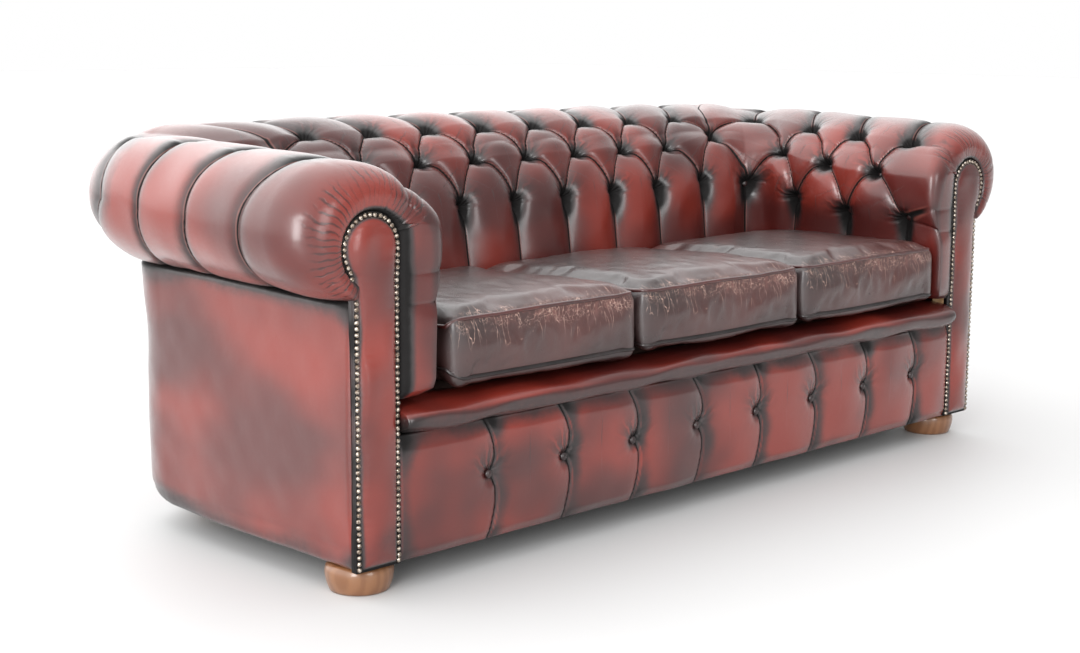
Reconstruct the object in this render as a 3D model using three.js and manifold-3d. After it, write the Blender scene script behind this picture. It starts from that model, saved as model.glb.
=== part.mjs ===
// Button-backed scroll-arm sofa: hardwood frame, spring seat, padded arms and back, three loose cushions.
// Millimetres, +Z up, +X to the sitter's left (the viewer's right), -Y to the front.
// The origin is on the floor, in the middle of the sofa's width and depth.
import * as THREE from 'three';
import { mergeVertices } from 'three/addons/utils/BufferGeometryUtils.js';
import Module from 'manifold-3d';

// ---- driving dimensions -------------------------------------------------------------------------
const OVERALL_DEPTH = 805;
const LIP_OUT = 30;                               // the seat lip stands this far in front of the arms
const FRONT_Y = -OVERALL_DEPTH / 2 + LIP_OUT;     // plane of the arm fronts
const BASE_HALF = 900;                            // half the width over the outside arm panels
const BASE_DEPTH = 695;                           // arm fronts to the outside back panel
const BASE_BOTTOM = 48;
const REAR_Y = FRONT_Y + BASE_DEPTH;
const CORNER_R = 150;                             // plan radius of the rear corners on the base line
const CORNER_GROW_OUT = 1.3;                      // extra radius for each millimetre outward
const CORNER_GROW_IN = 0.4;                       // radius lost for each millimetre inward
const GAP = 0.5;                                  // clearance between pieces that touch

const FACING_WIDTH = 92;
const FACING_CENTRE = [-36, 572];                 // centre of the round top, from the base's outer plane
const FACING_R = 59;
const FACING_NECK = { outer: 85, inner: 50 };     // the straight sides meet the round top this far below it
const PANEL_T = 12;                               // outside panels: leather, wadding and hessian
const FRAME_IN = 95;                              // frame space inside an arm reaches this far in
const FRAME_IN_BACK = 120;
const FRAME_OUT = 20;                             // and starts this far in
const FRAME_TOP = 600;
const PAD_FOOT = 322;                             // lowest line of the inside arm and back padding
const NOSE_DEPTH = 75;                            // the rolled arm end rounds off over this depth
const NOSE_DEPTH_IN = 30;                         // and its inside edge over this much

const RAIL_TOP = 255;
const SEAT_Z = [264, 318];                        // sprung seat platform
const PLATFORM = { half: 788, front: 66, rear: 575 };
const LIP = { half: 806, back: 65, lift: 7, roundTop: 24, roundFoot: 8 };
const CUSHION = {
  width: 484, depth: 470, thick: 122, gap: 3, bottom: 322, slope: 1.3, edge: 16, frontR: 14, rearR: 34,
  forward: 26,                                    // overhang in front of the arm fronts
};
const BUTTON_PITCH = 182.5;                       // border buttons
const BUTTON_SHIFT = 29.3;
const BUTTON_COUNT = 8;
const BUTTON_Z = 163.6;
const BORDER_STANDS = 4;                          // facings and border lie this far in front of FRONT_Y
const FOOT = { x: 842, front: 62, rearX: 735, rear: 594 };
const FOOT_PROFILE = [[46, 47.5], [53, 45], [57, 39], [58, 30], [56, 19], [53, 9], [49, 0], [0, 0]];
const BOLT_R = 4;
const BOLT_PLAY = 0.4;
const SPRING_COUNT = 5;
const SPRING = { wire: 3.8, half: 27, loops: 13, pitch: 290, front: 24, rear: 26 };

// Padding outlines, as [out, up] from the base's outer plane: a curve up the inside, then a round roll.
const ARM = { inside: [[-166, 322], [-168, 446], [-194, 522], [-188, 602]],
  roll: { centre: [-20, 592], radius: 140, shoulder: 155, up: 117, down: 108 } };
const BACK = { inside: [[-243, 322], [-240, 440], [-228, 560], [-192, 648]],
  roll: { centre: [-28, 630], radius: 108, shoulder: 150, up: 112, down: 130 } };
const NOSE = { inside: [[-157, 322], [-159, 440], [-166, 515], [-156, 590]],
  roll: { centre: [-36, 572], radius: 74, shoulder: 112, up: 84, down: 85 } };

// ---- materials ----------------------------------------------------------------------------------
const finish = (color, roughness, metalness = 0) => () =>
  new THREE.MeshStandardMaterial({ color, roughness, metalness });
const oxblood = finish(0x8a3430, 0.38);
const wornBrown = finish(0x4a3a36, 0.45);
const beech = finish(0xc49a6c, 0.6);
const lacquered = finish(0xb07a48, 0.35);
const wire = finish(0x6f7275, 0.45, 0.9);
const nickel = finish(0xb9ab92, 0.35, 0.9);
const blackCloth = finish(0x23211f, 0.95);

// ---- helpers ------------------------------------------------------------------------------------
const wasm = await Module();
wasm.setup();
const sofa = new THREE.Group();

function add(name, geometry, material, position = [0, 0, 0]) {
  const mesh = new THREE.Mesh(geometry, material());
  mesh.name = name;
  mesh.position.set(...position);
  sofa.add(mesh);
  return mesh;
}

function block(name, material, low, high) {
  const size = high.map((v, i) => v - low[i]);
  const centre = high.map((v, i) => (v + low[i]) / 2);
  return add(name, new THREE.BoxGeometry(...size), material, centre);
}

function toSolid(geometry) {
  const bare = geometry.clone();
  bare.deleteAttribute('normal');
  bare.deleteAttribute('uv');
  const merged = mergeVertices(bare, 1e-4);
  return new wasm.Manifold(new wasm.Mesh({
    numProp: 3,
    vertProperties: new Float32Array(merged.attributes.position.array),
    triVerts: new Uint32Array(merged.index.array),
  }));
}

function fromSolid(solid) {
  const mesh = solid.getMesh();
  const geometry = new THREE.BufferGeometry();
  geometry.setAttribute('position', new THREE.BufferAttribute(mesh.vertProperties, 3));
  geometry.setIndex(new THREE.BufferAttribute(mesh.triVerts, 1));
  geometry.computeVertexNormals();
  return geometry;
}

// A closed loft: every section is the same closed outline moved on, with a flat cap at each end.
function loft(sections, cap) {
  const count = sections[0].length;
  const geometry = new THREE.BufferGeometry();
  const index = [];
  for (let i = 0; i + 1 < sections.length; i += 1) {
    for (let k = 0; k < count; k += 1) {
      const a = i * count + k;
      const b = i * count + (k + 1) % count;
      index.push(a, b, b + count, a, b + count, a + count);
    }
  }
  const clockwise = THREE.ShapeUtils.isClockWise(cap);
  const faces = THREE.ShapeUtils.triangulateShape(cap, []);
  const last = (sections.length - 1) * count;
  for (const face of faces) {
    const [a, b, c] = clockwise ? face.toReversed() : face;
    index.push(c, b, a, a + last, b + last, c + last);
  }
  geometry.setAttribute('position', new THREE.Float32BufferAttribute(sections.flat(2), 3));
  geometry.setIndex(index);
  return orientOut(geometry);
}

// Turns the faces round if the volume comes out negative.
function orientOut(geometry) {
  const p = geometry.attributes.position;
  const index = geometry.index.array;
  const corners = [0, 1, 2].map(() => new THREE.Vector3());
  let volume = 0;
  for (let i = 0; i < index.length; i += 3) {
    corners.forEach((v, k) => v.fromBufferAttribute(p, index[i + k]));
    volume += corners[0].dot(corners[1].cross(corners[2]));
  }
  if (volume < 0) {
    for (let i = 0; i < index.length; i += 3) {
      [index[i], index[i + 1]] = [index[i + 1], index[i]];
    }
  }
  geometry.computeVertexNormals();
  return geometry;
}

// ---- the plan line that arms and back follow ----------------------------------------------------
const cornerRadius = (out) => CORNER_R + out * (out > 0 ? CORNER_GROW_OUT : CORNER_GROW_IN);

// Point on the line at offset `out`: run 0..1 is the right arm, front to back, 1..2 the rear corner,
// 2..3 the back as far as the middle.
function planPoint(out, run) {
  const radius = cornerRadius(out);
  const x = BASE_HALF + out;
  const y = REAR_Y + out;
  if (run <= 1) {
    return [x, FRONT_Y + (y - radius - FRONT_Y) * run];
  }
  if (run >= 2) {
    return [(x - radius) * (3 - run), y];
  }
  const angle = (run - 1) * Math.PI / 2;
  return [x - radius + radius * Math.cos(angle), y - radius + radius * Math.sin(angle)];
}

// ---- padding outline ----------------------------------------------------------------------------
const ROLL_STEPS = 13;
const INSIDE_STEPS = 7;

function coverLine({ inside, roll }) {
  const { centre, radius, shoulder, up, down } = roll;
  const start = THREE.MathUtils.degToRad(150);
  const end = -Math.acos(-centre[0] / radius);
  const arc = [];
  for (let i = 0; i <= ROLL_STEPS; i += 1) {
    const angle = start + (end - start) * i / ROLL_STEPS;
    const height = Math.sin(angle) * (angle > 0 ? up : down);
    const reach = Math.cos(angle) * (Math.cos(angle) < 0 ? shoulder : radius);
    arc.push([centre[0] + reach, centre[1] + height]);
  }
  const curve = new THREE.SplineCurve([...inside, arc[0]].map((p) => new THREE.Vector2(...p)));
  const lower = curve.getPoints(INSIDE_STEPS).slice(0, -1).map((p) => [p.x, p.y]);
  return [...lower, ...arc];
}

const ARM_LINE = coverLine(ARM);
const BACK_LINE = coverLine(BACK);
const NOSE_LINE = coverLine(NOSE);

const mix = (a, b, w) => a.map((v, i) => v + (b[i] - v) * w);
const mixLine = (a, b, w) => a.map((p, i) => mix(p, b[i], w));

// How full the arm end is, 0..1, at a depth behind its front, for each step of the outline: the inside
// edge rounds off quickly and the roll slowly.
function noseWeight(depth, step) {
  const slow = THREE.MathUtils.smoothstep(step, INSIDE_STEPS - 1.4, INSIDE_STEPS + 4.5);
  const near = 1 - Math.min(depth / THREE.MathUtils.lerp(NOSE_DEPTH_IN, NOSE_DEPTH, slow), 1);
  return Math.sqrt(1 - near * near);
}

// Cover line plus its way back round the space for the frame, at a depth behind the arm's front. Arms
// fall a little towards the front.
function padOutline(run, depth = NOSE_DEPTH) {
  const turn = THREE.MathUtils.smoothstep(run, 1, 2);
  const line = mixLine(ARM_LINE, BACK_LINE, turn);
  const rise = THREE.MathUtils.clamp(run, 0, 1) * 0.6;
  const lifted = mixLine(ARM_LINE, BACK_LINE, Math.max(turn, rise));
  const cover = line.map((p, i) => [p[0], lifted[i][1]]);
  const rounded = NOSE_LINE.map((p, i) => mix(p, cover[i], noseWeight(depth, i)));
  const inner = -(FRAME_IN + (FRAME_IN_BACK - FRAME_IN) * turn);
  const junction = rounded.at(-1);
  return [...rounded, [-FRAME_OUT, junction[1]], [-FRAME_OUT, FRAME_TOP], [inner, FRAME_TOP],
    [inner, PAD_FOOT]];
}

function padSection(run, depth) {
  return padOutline(run, depth).map(([out, up]) => [...planPoint(out, run), up]);
}

// The outside line of an arm front: straight leg and round top. `inset` shrinks it, `step` cuts the
// straight outer side back.
function facingShape(inset, step) {
  const shape = new THREE.Shape();
  const [cx, cz] = FACING_CENTRE;
  const radius = FACING_R - inset;
  const outer = -step - inset;
  const inner = -FACING_WIDTH + inset;
  shape.moveTo(inner, BASE_BOTTOM + 3);
  shape.lineTo(outer, BASE_BOTTOM + 3);
  shape.lineTo(outer, cz - FACING_NECK.outer);
  shape.absarc(cx, cz, radius, -Math.PI / 4, Math.PI, false);
  shape.lineTo(inner, cz - FACING_NECK.inner);
  shape.closePath();
  return shape;
}

// Stands a shape drawn as [out, up] on the right arm's front, from `front` back to `back`.
function standUp(shape, front, back) {
  const geometry = new THREE.ExtrudeGeometry(shape, {
    depth: back - front, bevelEnabled: false, curveSegments: 14,
  });
  geometry.rotateX(Math.PI / 2);
  geometry.translate(BASE_HALF, back, 0);
  return geometry;
}

// A mirrored copy for the other side of the sofa, still facing outward.
function mirrored(geometry) {
  const source = geometry.index ? geometry.toNonIndexed() : geometry.clone();
  const p = source.attributes.position.array.slice();
  for (let i = 0; i < p.length; i += 9) {
    for (let k = 0; k < 3; k += 1) {
      p[i + 3 * k] *= -1;
    }
    for (let k = 0; k < 3; k += 1) {
      [p[i + 3 + k], p[i + 6 + k]] = [p[i + 6 + k], p[i + 3 + k]];
    }
  }
  const flipped = new THREE.BufferGeometry();
  flipped.setAttribute('position', new THREE.BufferAttribute(p, 3));
  flipped.computeVertexNormals();
  return flipped;
}

function addPair(name, geometry, material) {
  add(`${name}_right`, geometry, material);
  add(`${name}_left`, mirrored(geometry), material);
}

// ---- hardwood frame -----------------------------------------------------------------------------
const POST_Y = [FRONT_Y + 10.5, FRONT_Y + 40];
const POST_INSIDE = BASE_HALF - FACING_WIDTH;
const CORNER_POST_X = [805, 855];
const SIDE_RAIL_X = [CORNER_POST_X[1] + GAP, 878];
const ARM_RAIL_X = [825, 860];
const ARM_TACK_RAIL_X = [CORNER_POST_X[0] + GAP, 832];
const BACK_UPRIGHT_X = [415, 445];
const STRETCHER_HALF = 16;
const CORNER_POST_Y = [FRONT_Y + 560, FRONT_Y + 605];
const FRONT_RAIL_Y = [FRONT_Y + 20, FRONT_Y + 50];
const BACK_RAIL_Y = [CORNER_POST_Y[1] + GAP, CORNER_POST_Y[1] + 30];
const BACK_UPRIGHT_Y = [CORNER_POST_Y[1] + GAP, CORNER_POST_Y[1] + 28];
const BACK_TOP_RAIL_Y = [CORNER_POST_Y[0] + 20.5, CORNER_POST_Y[0] + 65.5];
const SEAT_RAIL_Z = [52, RAIL_TOP];
const STRETCHER_Z = [150, RAIL_TOP - 45];
const TACK_RAIL_Z = [PAD_FOOT + 2, PAD_FOOT + 42];
const TOP_RAIL_Z = [560.5, 595];

function frame() {
  const post = standUp(facingShape(1, PANEL_T - GAP), ...POST_Y);
  addPair('arm_front_post', post, beech);

  // A rail that runs across the sofa, from -half to half.
  const across = (name, half, y, z) => block(name, beech, [-half, y[0], z[0]], [half, y[1], z[1]]);
  across('front_rail', POST_INSIDE - 1, FRONT_RAIL_Y, SEAT_RAIL_Z);
  across('back_rail', CORNER_POST_X[1] - 15, BACK_RAIL_Y, SEAT_RAIL_Z);
  across('seat_stretcher', STRETCHER_HALF, [FRONT_RAIL_Y[1] + GAP, CORNER_POST_Y[1]], STRETCHER_Z);
  across('back_top_rail', ARM_RAIL_X[0] - GAP, BACK_TOP_RAIL_Y, TOP_RAIL_Z);
  across('back_tack_rail', CORNER_POST_X[0] - 5, [BACK_TOP_RAIL_Y[0], CORNER_POST_Y[1]], TACK_RAIL_Z);

  for (const [side, sign] of [['right', 1], ['left', -1]]) {
    const span = (a, b) => [Math.min(a * sign, b * sign), Math.max(a * sign, b * sign)];
    const pair = (name, x, y, z) => {
      const [low, high] = span(...x);
      block(`${name}_${side}`, beech, [low, y[0], z[0]], [high, y[1], z[1]]);
    };
    pair('side_rail', SIDE_RAIL_X, [POST_Y[1] + GAP, CORNER_POST_Y[1] - 22], SEAT_RAIL_Z);
    pair('corner_post', CORNER_POST_X, CORNER_POST_Y, [SEAT_RAIL_Z[0], TOP_RAIL_Z[0] - GAP]);
    pair('arm_top_rail', ARM_RAIL_X, [POST_Y[1] + GAP, CORNER_POST_Y[0] + 25], TOP_RAIL_Z);
    pair('arm_tack_rail', ARM_TACK_RAIL_X, [POST_Y[1] + GAP, CORNER_POST_Y[0] - GAP], TACK_RAIL_Z);
    pair('back_upright', BACK_UPRIGHT_X, BACK_UPRIGHT_Y, [SEAT_RAIL_Z[1] + GAP, TOP_RAIL_Z[0] - GAP]);
  }
}

// ---- feet, each screwed up into a corner block --------------------------------------------------
const BLOCK_Z = [52, 92];
const BLOCK = { out: 11.5, back: 11, leg: 90, end: 22 };
const BOLT_FOOT_Z = 11;
const footSpots = [
  ['front_right', FOOT.x, FRONT_Y + FOOT.front],
  ['front_left', -FOOT.x, FRONT_Y + FOOT.front],
  ['rear_right', FOOT.rearX, FRONT_Y + FOOT.rear],
  ['rear_left', -FOOT.rearX, FRONT_Y + FOOT.rear],
];

// Squat bun with a flat sole and a blind hole for its bolt.
function footGeometry() {
  const bore = BOLT_R + BOLT_PLAY;
  const top = FOOT_PROFILE[0][1];
  const profile = [[0, BOLT_FOOT_Z - 1], [bore, BOLT_FOOT_Z - 1], [bore, top], ...FOOT_PROFILE];
  const points = profile.reverse().map((p) => new THREE.Vector2(...p));
  const geometry = new THREE.LatheGeometry(points, 24);
  geometry.rotateX(Math.PI / 2);
  return geometry;
}

function cornerBlock(x, y) {
  const sx = Math.sign(x);
  const sy = y < 0 ? 1 : -1;
  const outer = [x + sx * BLOCK.out, y - sy * BLOCK.back];
  const inner = [outer[0] - sx * BLOCK.leg, outer[1] + sy * BLOCK.leg];
  const corners = [outer, [outer[0], inner[1]], [outer[0] - sx * BLOCK.end, inner[1]],
    [inner[0], outer[1] + sy * BLOCK.end], [inner[0], outer[1]]];
  const shape = new THREE.Shape(corners.map((p) => new THREE.Vector2(...p)));
  const hole = new THREE.Path();
  hole.absarc(x, y, BOLT_R + BOLT_PLAY, 0, Math.PI * 2, false);
  shape.holes.push(hole);
  const geometry = new THREE.ExtrudeGeometry(shape, {
    depth: BLOCK_Z[1] - BLOCK_Z[0], bevelEnabled: false, curveSegments: 12,
  });
  geometry.translate(0, 0, BLOCK_Z[0]);
  return geometry;
}

function feet() {
  for (const [spot, x, y] of footSpots) {
    add(`foot_${spot}`, footGeometry(), lacquered, [x, y, 0]);
    add(`corner_block_${spot}`, cornerBlock(x, y), beech);
    const boltTop = BLOCK_Z[1] - 3;
    const bolt = new THREE.CylinderGeometry(BOLT_R, BOLT_R, boltTop - BOLT_FOOT_Z, 12);
    bolt.rotateX(Math.PI / 2);
    add(`foot_bolt_${spot}`, bolt, wire, [x, y, (boltTop + BOLT_FOOT_Z) / 2]);
  }
}

// ---- seat springs and platform ------------------------------------------------------------------
// Zigzag spring, drawn as the two edges of one bent wire and given the wire's thickness.
function springGeometry(length) {
  const step = length / (2 * SPRING.loops);
  const centre = [];
  for (let i = 0; i <= 2 * SPRING.loops; i += 1) {
    const side = i % 2 ? SPRING.half : -SPRING.half;
    const y = i * step;
    const ease = step * 0.3;
    if (i > 0) {
      centre.push([side, y - ease]);
    }
    if (i < 2 * SPRING.loops) {
      centre.push([side, y + ease]);
    }
  }
  const edge = (sign) => centre.map((p, i) => {
    const before = centre[Math.max(i - 1, 0)];
    const after = centre[Math.min(i + 1, centre.length - 1)];
    const d1 = new THREE.Vector2(p[0] - before[0], p[1] - before[1]);
    const d2 = new THREE.Vector2(after[0] - p[0], after[1] - p[1]);
    const along = d1.normalize().add(d2.normalize()).normalize();
    const spread = SPRING.wire / 2 / Math.max(0.7, Math.abs(along.dot(d2.length() ? d2 : d1)));
    return new THREE.Vector2(p[0] - along.y * spread * sign, p[1] + along.x * spread * sign);
  });
  const outline = [...edge(1), ...edge(-1).reverse()];
  return new THREE.ExtrudeGeometry(new THREE.Shape(outline), { depth: SPRING.wire, bevelEnabled: false });
}

function seat() {
  const from = FRONT_Y + SPRING.front;
  const length = CORNER_POST_Y[1] + SPRING.rear - from;
  for (let i = 0; i < SPRING_COUNT; i += 1) {
    const x = (i - (SPRING_COUNT - 1) / 2) * SPRING.pitch;
    add(`seat_spring_${i + 1}`, springGeometry(length), wire, [x, from, RAIL_TOP + GAP]);
  }
  block('seat_platform', oxblood, [-PLATFORM.half, FRONT_Y + PLATFORM.front, SEAT_Z[0]],
    [PLATFORM.half, FRONT_Y + PLATFORM.rear, SEAT_Z[1]]);

  const lip = new THREE.Shape();
  const [low, high] = [RAIL_TOP + LIP.lift, SEAT_Z[1]];
  const edge = FRONT_Y - LIP_OUT;
  lip.moveTo(FRONT_Y + LIP.back, low);
  lip.lineTo(FRONT_Y + LIP.back, high);
  lip.lineTo(FRONT_Y - 5, high);
  lip.quadraticCurveTo(edge - 1.5, high, edge, high - LIP.roundTop);
  lip.quadraticCurveTo(edge + 2, low, FRONT_Y - LIP.roundFoot, low);
  lip.closePath();
  const roll = new THREE.ExtrudeGeometry(lip, {
    depth: 2 * LIP.half, bevelEnabled: false, curveSegments: 6,
  });
  roll.rotateZ(Math.PI / 2);
  roll.rotateY(Math.PI / 2);
  roll.translate(-LIP.half, 0, 0);
  add('seat_lip', roll, oxblood);
}

// ---- cushions -----------------------------------------------------------------------------------
function cushionGeometry() {
  const { edge, frontR, rearR } = CUSHION;
  const half = [CUSHION.width / 2 - edge, CUSHION.depth / 2 - edge];
  const shape = new THREE.Shape();
  shape.absarc(half[0] - rearR, half[1] - rearR, rearR, 0, Math.PI / 2, false);
  shape.absarc(-half[0] + rearR, half[1] - rearR, rearR, Math.PI / 2, Math.PI, false);
  shape.absarc(-half[0] + frontR, -half[1] + frontR, frontR, Math.PI, Math.PI * 1.5, false);
  shape.absarc(half[0] - frontR, -half[1] + frontR, frontR, -Math.PI / 2, 0, false);
  const geometry = new THREE.ExtrudeGeometry(shape, {
    depth: CUSHION.thick - 2 * edge, bevelEnabled: true, bevelThickness: edge, bevelSize: edge,
    bevelSegments: 3, curveSegments: 4,
  });
  geometry.translate(0, 0, edge);
  geometry.rotateX(-THREE.MathUtils.degToRad(CUSHION.slope));
  return geometry;
}

function cushions() {
  const fall = CUSHION.depth / 2 * Math.sin(THREE.MathUtils.degToRad(CUSHION.slope));
  const y = FRONT_Y - CUSHION.forward + CUSHION.depth / 2;
  for (let i = 0; i < 3; i += 1) {
    const x = (i - 1) * (CUSHION.width + CUSHION.gap);
    add(`cushion_${['left', 'middle', 'right'][i]}`, cushionGeometry(), wornBrown,
      [x, y, CUSHION.bottom + fall]);
  }
}

// ---- inside arms and back, with their rolls -----------------------------------------------------
const NOSE_RUNS = [0, 0.1, 0.25, 0.45, 0.7, 1].map((k) => k * NOSE_DEPTH);

function armPad() {
  const straight = REAR_Y - CORNER_R - FRONT_Y;
  const sections = NOSE_RUNS.map((depth) => padSection(depth / straight, depth));
  for (const run of [0.35, 0.6, 0.8, 1, 1.16, 1.33, 1.49]) {
    sections.push(padSection(run));
  }
  const cap = padOutline(0, 0).map((p) => new THREE.Vector2(...p));
  const front = toSolid(standUp(facingShape(-GAP, 0), FRONT_Y - 20, POST_Y[1] + GAP));
  return fromSolid(toSolid(loft(sections, cap)).subtract(front));
}

function backPad() {
  const runs = [1.51, 1.67, 1.84, 2, 2.3, 2.65];
  const half = runs.map((run) => padSection(run));
  const other = half.map((section) => section.map(([x, y, z]) => [-x, y, z])).reverse();
  const cap = padOutline(1.51).map((p) => new THREE.Vector2(...p));
  return loft([...half, padSection(3), ...other], cap);
}

// ---- outside panels -----------------------------------------------------------------------------
function panelSection(run, top) {
  const corners = [[0, BASE_BOTTOM + 3], [0, top], [-PANEL_T, top], [-PANEL_T, BASE_BOTTOM + 3]];
  return corners.map(([out, up]) => [...planPoint(out, run), up]);
}

function outsidePanels() {
  const cap = [[0, 0], [0, 1], [-1, 1], [-1, 0]].map((p) => new THREE.Vector2(...p));
  const topAt = (run) => padOutline(run).at(-5)[1] - GAP;
  const runs = [0.022, 0.2, 0.6, 1, 1.12, 1.25, 1.37, 1.49];
  const arm = loft(runs.map((run) => panelSection(run, run < 0.1 ? topAt(run) - 8 : topAt(run))), cap);
  addPair('outside_arm', arm, oxblood);
  const half = [1.51, 1.63, 1.75, 1.88, 2, 3].map((run) => panelSection(run, topAt(run)));
  const other = half.slice(0, -1).map((s) => s.map(([x, y, z]) => [-x, y, z])).reverse();
  add('outside_back', loft([...half, ...other], cap), oxblood);
}

// ---- arm fronts, nail trim, border --------------------------------------------------------------
// Strip of domed nails: a flat band that follows the facing's edge and is open at the bottom.
function nailTrim() {
  const centre = FACING_CENTRE;
  const band = (inset) => {
    const points = [[-inset, BASE_BOTTOM + 6], [-inset, centre[1] - 78]];
    for (let i = 0; i <= 12; i += 1) {
      const angle = THREE.MathUtils.lerp(-Math.PI / 5, Math.PI, i / 12);
      const radius = FACING_R - inset;
      points.push([centre[0] + radius * Math.cos(angle), centre[1] + radius * Math.sin(angle)]);
    }
    points.push([-FACING_WIDTH + inset, centre[1] - 50], [-FACING_WIDTH + inset, BASE_BOTTOM + 6]);
    return points;
  };
  const outline = [...band(0.5), ...band(9.5).reverse()];
  return standUp(new THREE.Shape(outline.map((p) => new THREE.Vector2(...p))), FRONT_Y - BORDER_STANDS - 3.5,
    FRONT_Y - BORDER_STANDS - GAP);
}

function borderButton() {
  const points = [[0, 0], [7.5, 0], [7.2, 2], [5.6, 4], [3, 5.2], [0, 5.6]];
  const geometry = new THREE.LatheGeometry(points.map((p) => new THREE.Vector2(...p)), 12);
  geometry.rotateX(Math.PI);
  return geometry;
}

function fronts() {
  const front = FRONT_Y - BORDER_STANDS;
  addPair('arm_facing', standUp(facingShape(0, 0), front, POST_Y[0] - GAP), oxblood);
  addPair('nail_trim', nailTrim(), nickel);
  block('front_border', oxblood, [1 - POST_INSIDE, front, BASE_BOTTOM + 3],
    [POST_INSIDE - 1, FRONT_RAIL_Y[0] - GAP, RAIL_TOP + LIP.lift - GAP]);
  for (let i = 0; i < BUTTON_COUNT; i += 1) {
    const x = (i - (BUTTON_COUNT - 1) / 2) * BUTTON_PITCH + BUTTON_SHIFT;
    add(`border_button_${i + 1}`, borderButton(), oxblood, [x, front - GAP, BUTTON_Z]);
  }
}

// Black cloth tacked under the frame, with a hole at each foot bolt.
function dustCover() {
  const margin = 4;
  const half = BASE_HALF - margin;
  const radius = CORNER_R - margin;
  const rear = REAR_Y - margin - radius;
  const shape = new THREE.Shape();
  shape.moveTo(-half, FRONT_Y + margin);
  shape.lineTo(half, FRONT_Y + margin);
  shape.absarc(half - radius, rear, radius, 0, Math.PI / 2, false);
  shape.absarc(radius - half, rear, radius, Math.PI / 2, Math.PI, false);
  shape.closePath();
  for (const [, x, y] of footSpots) {
    const hole = new THREE.Path();
    hole.absarc(x, y, BOLT_R + 1, 0, Math.PI * 2, false);
    shape.holes.push(hole);
  }
  const geometry = new THREE.ExtrudeGeometry(shape, { depth: 1.8, bevelEnabled: false, curveSegments: 5 });
  geometry.translate(0, 0, BASE_BOTTOM + 0.2);
  return geometry;
}

// ---- assembly -----------------------------------------------------------------------------------
frame();
feet();
seat();
addPair('arm_pad', armPad(), oxblood);
add('back_pad', backPad(), oxblood);
outsidePanels();
fronts();
cushions();
add('dust_cover', dustCover(), blackCloth);

export default sofa;
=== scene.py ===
# %% [markdown]
# # A button-backed sofa in worn oxblood leather
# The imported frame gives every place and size: hardwood, springs, feet, border buttons and plain solids
# for the padding. This notebook dresses it. Each cover is built as a grid of numbers, because a deep
# buttoned cover is really a repeating surface: once the buttons' places are known, the puffs, pleats
# and gathers follow from distances to them. Cushions are simulated, because stuffing pushes out evenly.

# %% Load the frame
import math

import bmesh
import bpy
import numpy as np
from mathutils import Matrix, Vector
from mathutils.bvhtree import BVHTree


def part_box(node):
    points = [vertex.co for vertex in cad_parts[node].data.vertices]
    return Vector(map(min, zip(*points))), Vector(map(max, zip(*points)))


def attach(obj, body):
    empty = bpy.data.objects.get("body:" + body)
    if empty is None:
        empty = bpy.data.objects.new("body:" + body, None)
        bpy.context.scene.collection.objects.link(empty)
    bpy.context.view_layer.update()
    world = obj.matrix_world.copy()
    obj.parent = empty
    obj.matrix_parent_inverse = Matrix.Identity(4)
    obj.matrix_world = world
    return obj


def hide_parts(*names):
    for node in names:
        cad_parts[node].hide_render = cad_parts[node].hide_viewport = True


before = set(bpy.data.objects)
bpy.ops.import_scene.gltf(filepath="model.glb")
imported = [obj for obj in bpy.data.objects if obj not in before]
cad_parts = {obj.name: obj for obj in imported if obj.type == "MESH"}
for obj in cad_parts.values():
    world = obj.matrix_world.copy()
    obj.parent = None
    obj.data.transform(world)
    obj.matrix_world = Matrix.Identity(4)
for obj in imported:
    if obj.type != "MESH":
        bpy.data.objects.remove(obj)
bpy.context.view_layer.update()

SCENE = bpy.context.scene
ROOT = "root"

# %% [markdown]
# ## Sizes
# The base line is the outer face of the outside panels. Everything upholstered is measured outward
# and upward from it, the way a frame maker's drawing gives an arm: so far out, so far up.

# %% Sizes from the frame
def low(node):
    return np.array(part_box(node)[0])


def high(node):
    return np.array(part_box(node)[1])


BASE_HALF = float(high("outside_arm_right")[0])
FRONT = float(low("arm_pad_right")[1])
REAR = float(high("outside_back")[1])
BASE_BOTTOM = float(high("foot_front_right")[2]) + 0.0005
FACING_WIDTH = 0.092
ARC_OUT, ARC_UP = -0.036, 0.572
ARC_R = 0.059
CORNER_R = 0.150
ARM_STRAIGHT = REAR - CORNER_R - FRONT
SIDES = (("left", -1), ("right", 1))
MIRROR = np.array([-1, 1, 1])
print("base half", BASE_HALF, "front", FRONT, "rear", REAR, "bottom", BASE_BOTTOM)


# %% Small numeric helpers
def smooth(x, start, end):
    """0 before start, 1 after end, with an even turn between them."""
    k = np.clip((x - start) / (end - start), 0.0, 1.0)
    return k * k * (3 - 2 * k)


def mix(a, b, w):
    return a + (b - a) * w


def waves(p, q, seed, size, count=14):
    """Smooth seeded unevenness of about -1 to 1: a sum of plane waves with lengths near `size`."""
    rng = np.random.default_rng(seed)
    total = np.zeros(np.broadcast(p, q).shape)
    for _ in range(count):
        angle = rng.uniform(0, 2 * math.pi)
        wave = 2 * math.pi / (size * rng.uniform(0.7, 1.6))
        phase = rng.uniform(0, 2 * math.pi)
        total += np.sin(wave * (p * math.cos(angle) + q * math.sin(angle)) + phase)
    return total / math.sqrt(count)


def through(p0, p1, p2, p3, w):
    """A smooth curve from p1 (w = 0) to p2 (w = 1) that heads for its neighbours at both ends."""
    v0, v1 = (p2 - p0) / 2, (p3 - p1) / 2
    return (2 * p1 - 2 * p2 + v0 + v1) * w ** 3 + (3 * p2 - 3 * p1 - 2 * v0 - v1) * w ** 2 + v0 * w + p1


def with_mirror(half, flip=1):
    """A half followed by its mirror image, without the middle twice."""
    return np.concatenate([half, half[::-1][1:] * flip])
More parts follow.
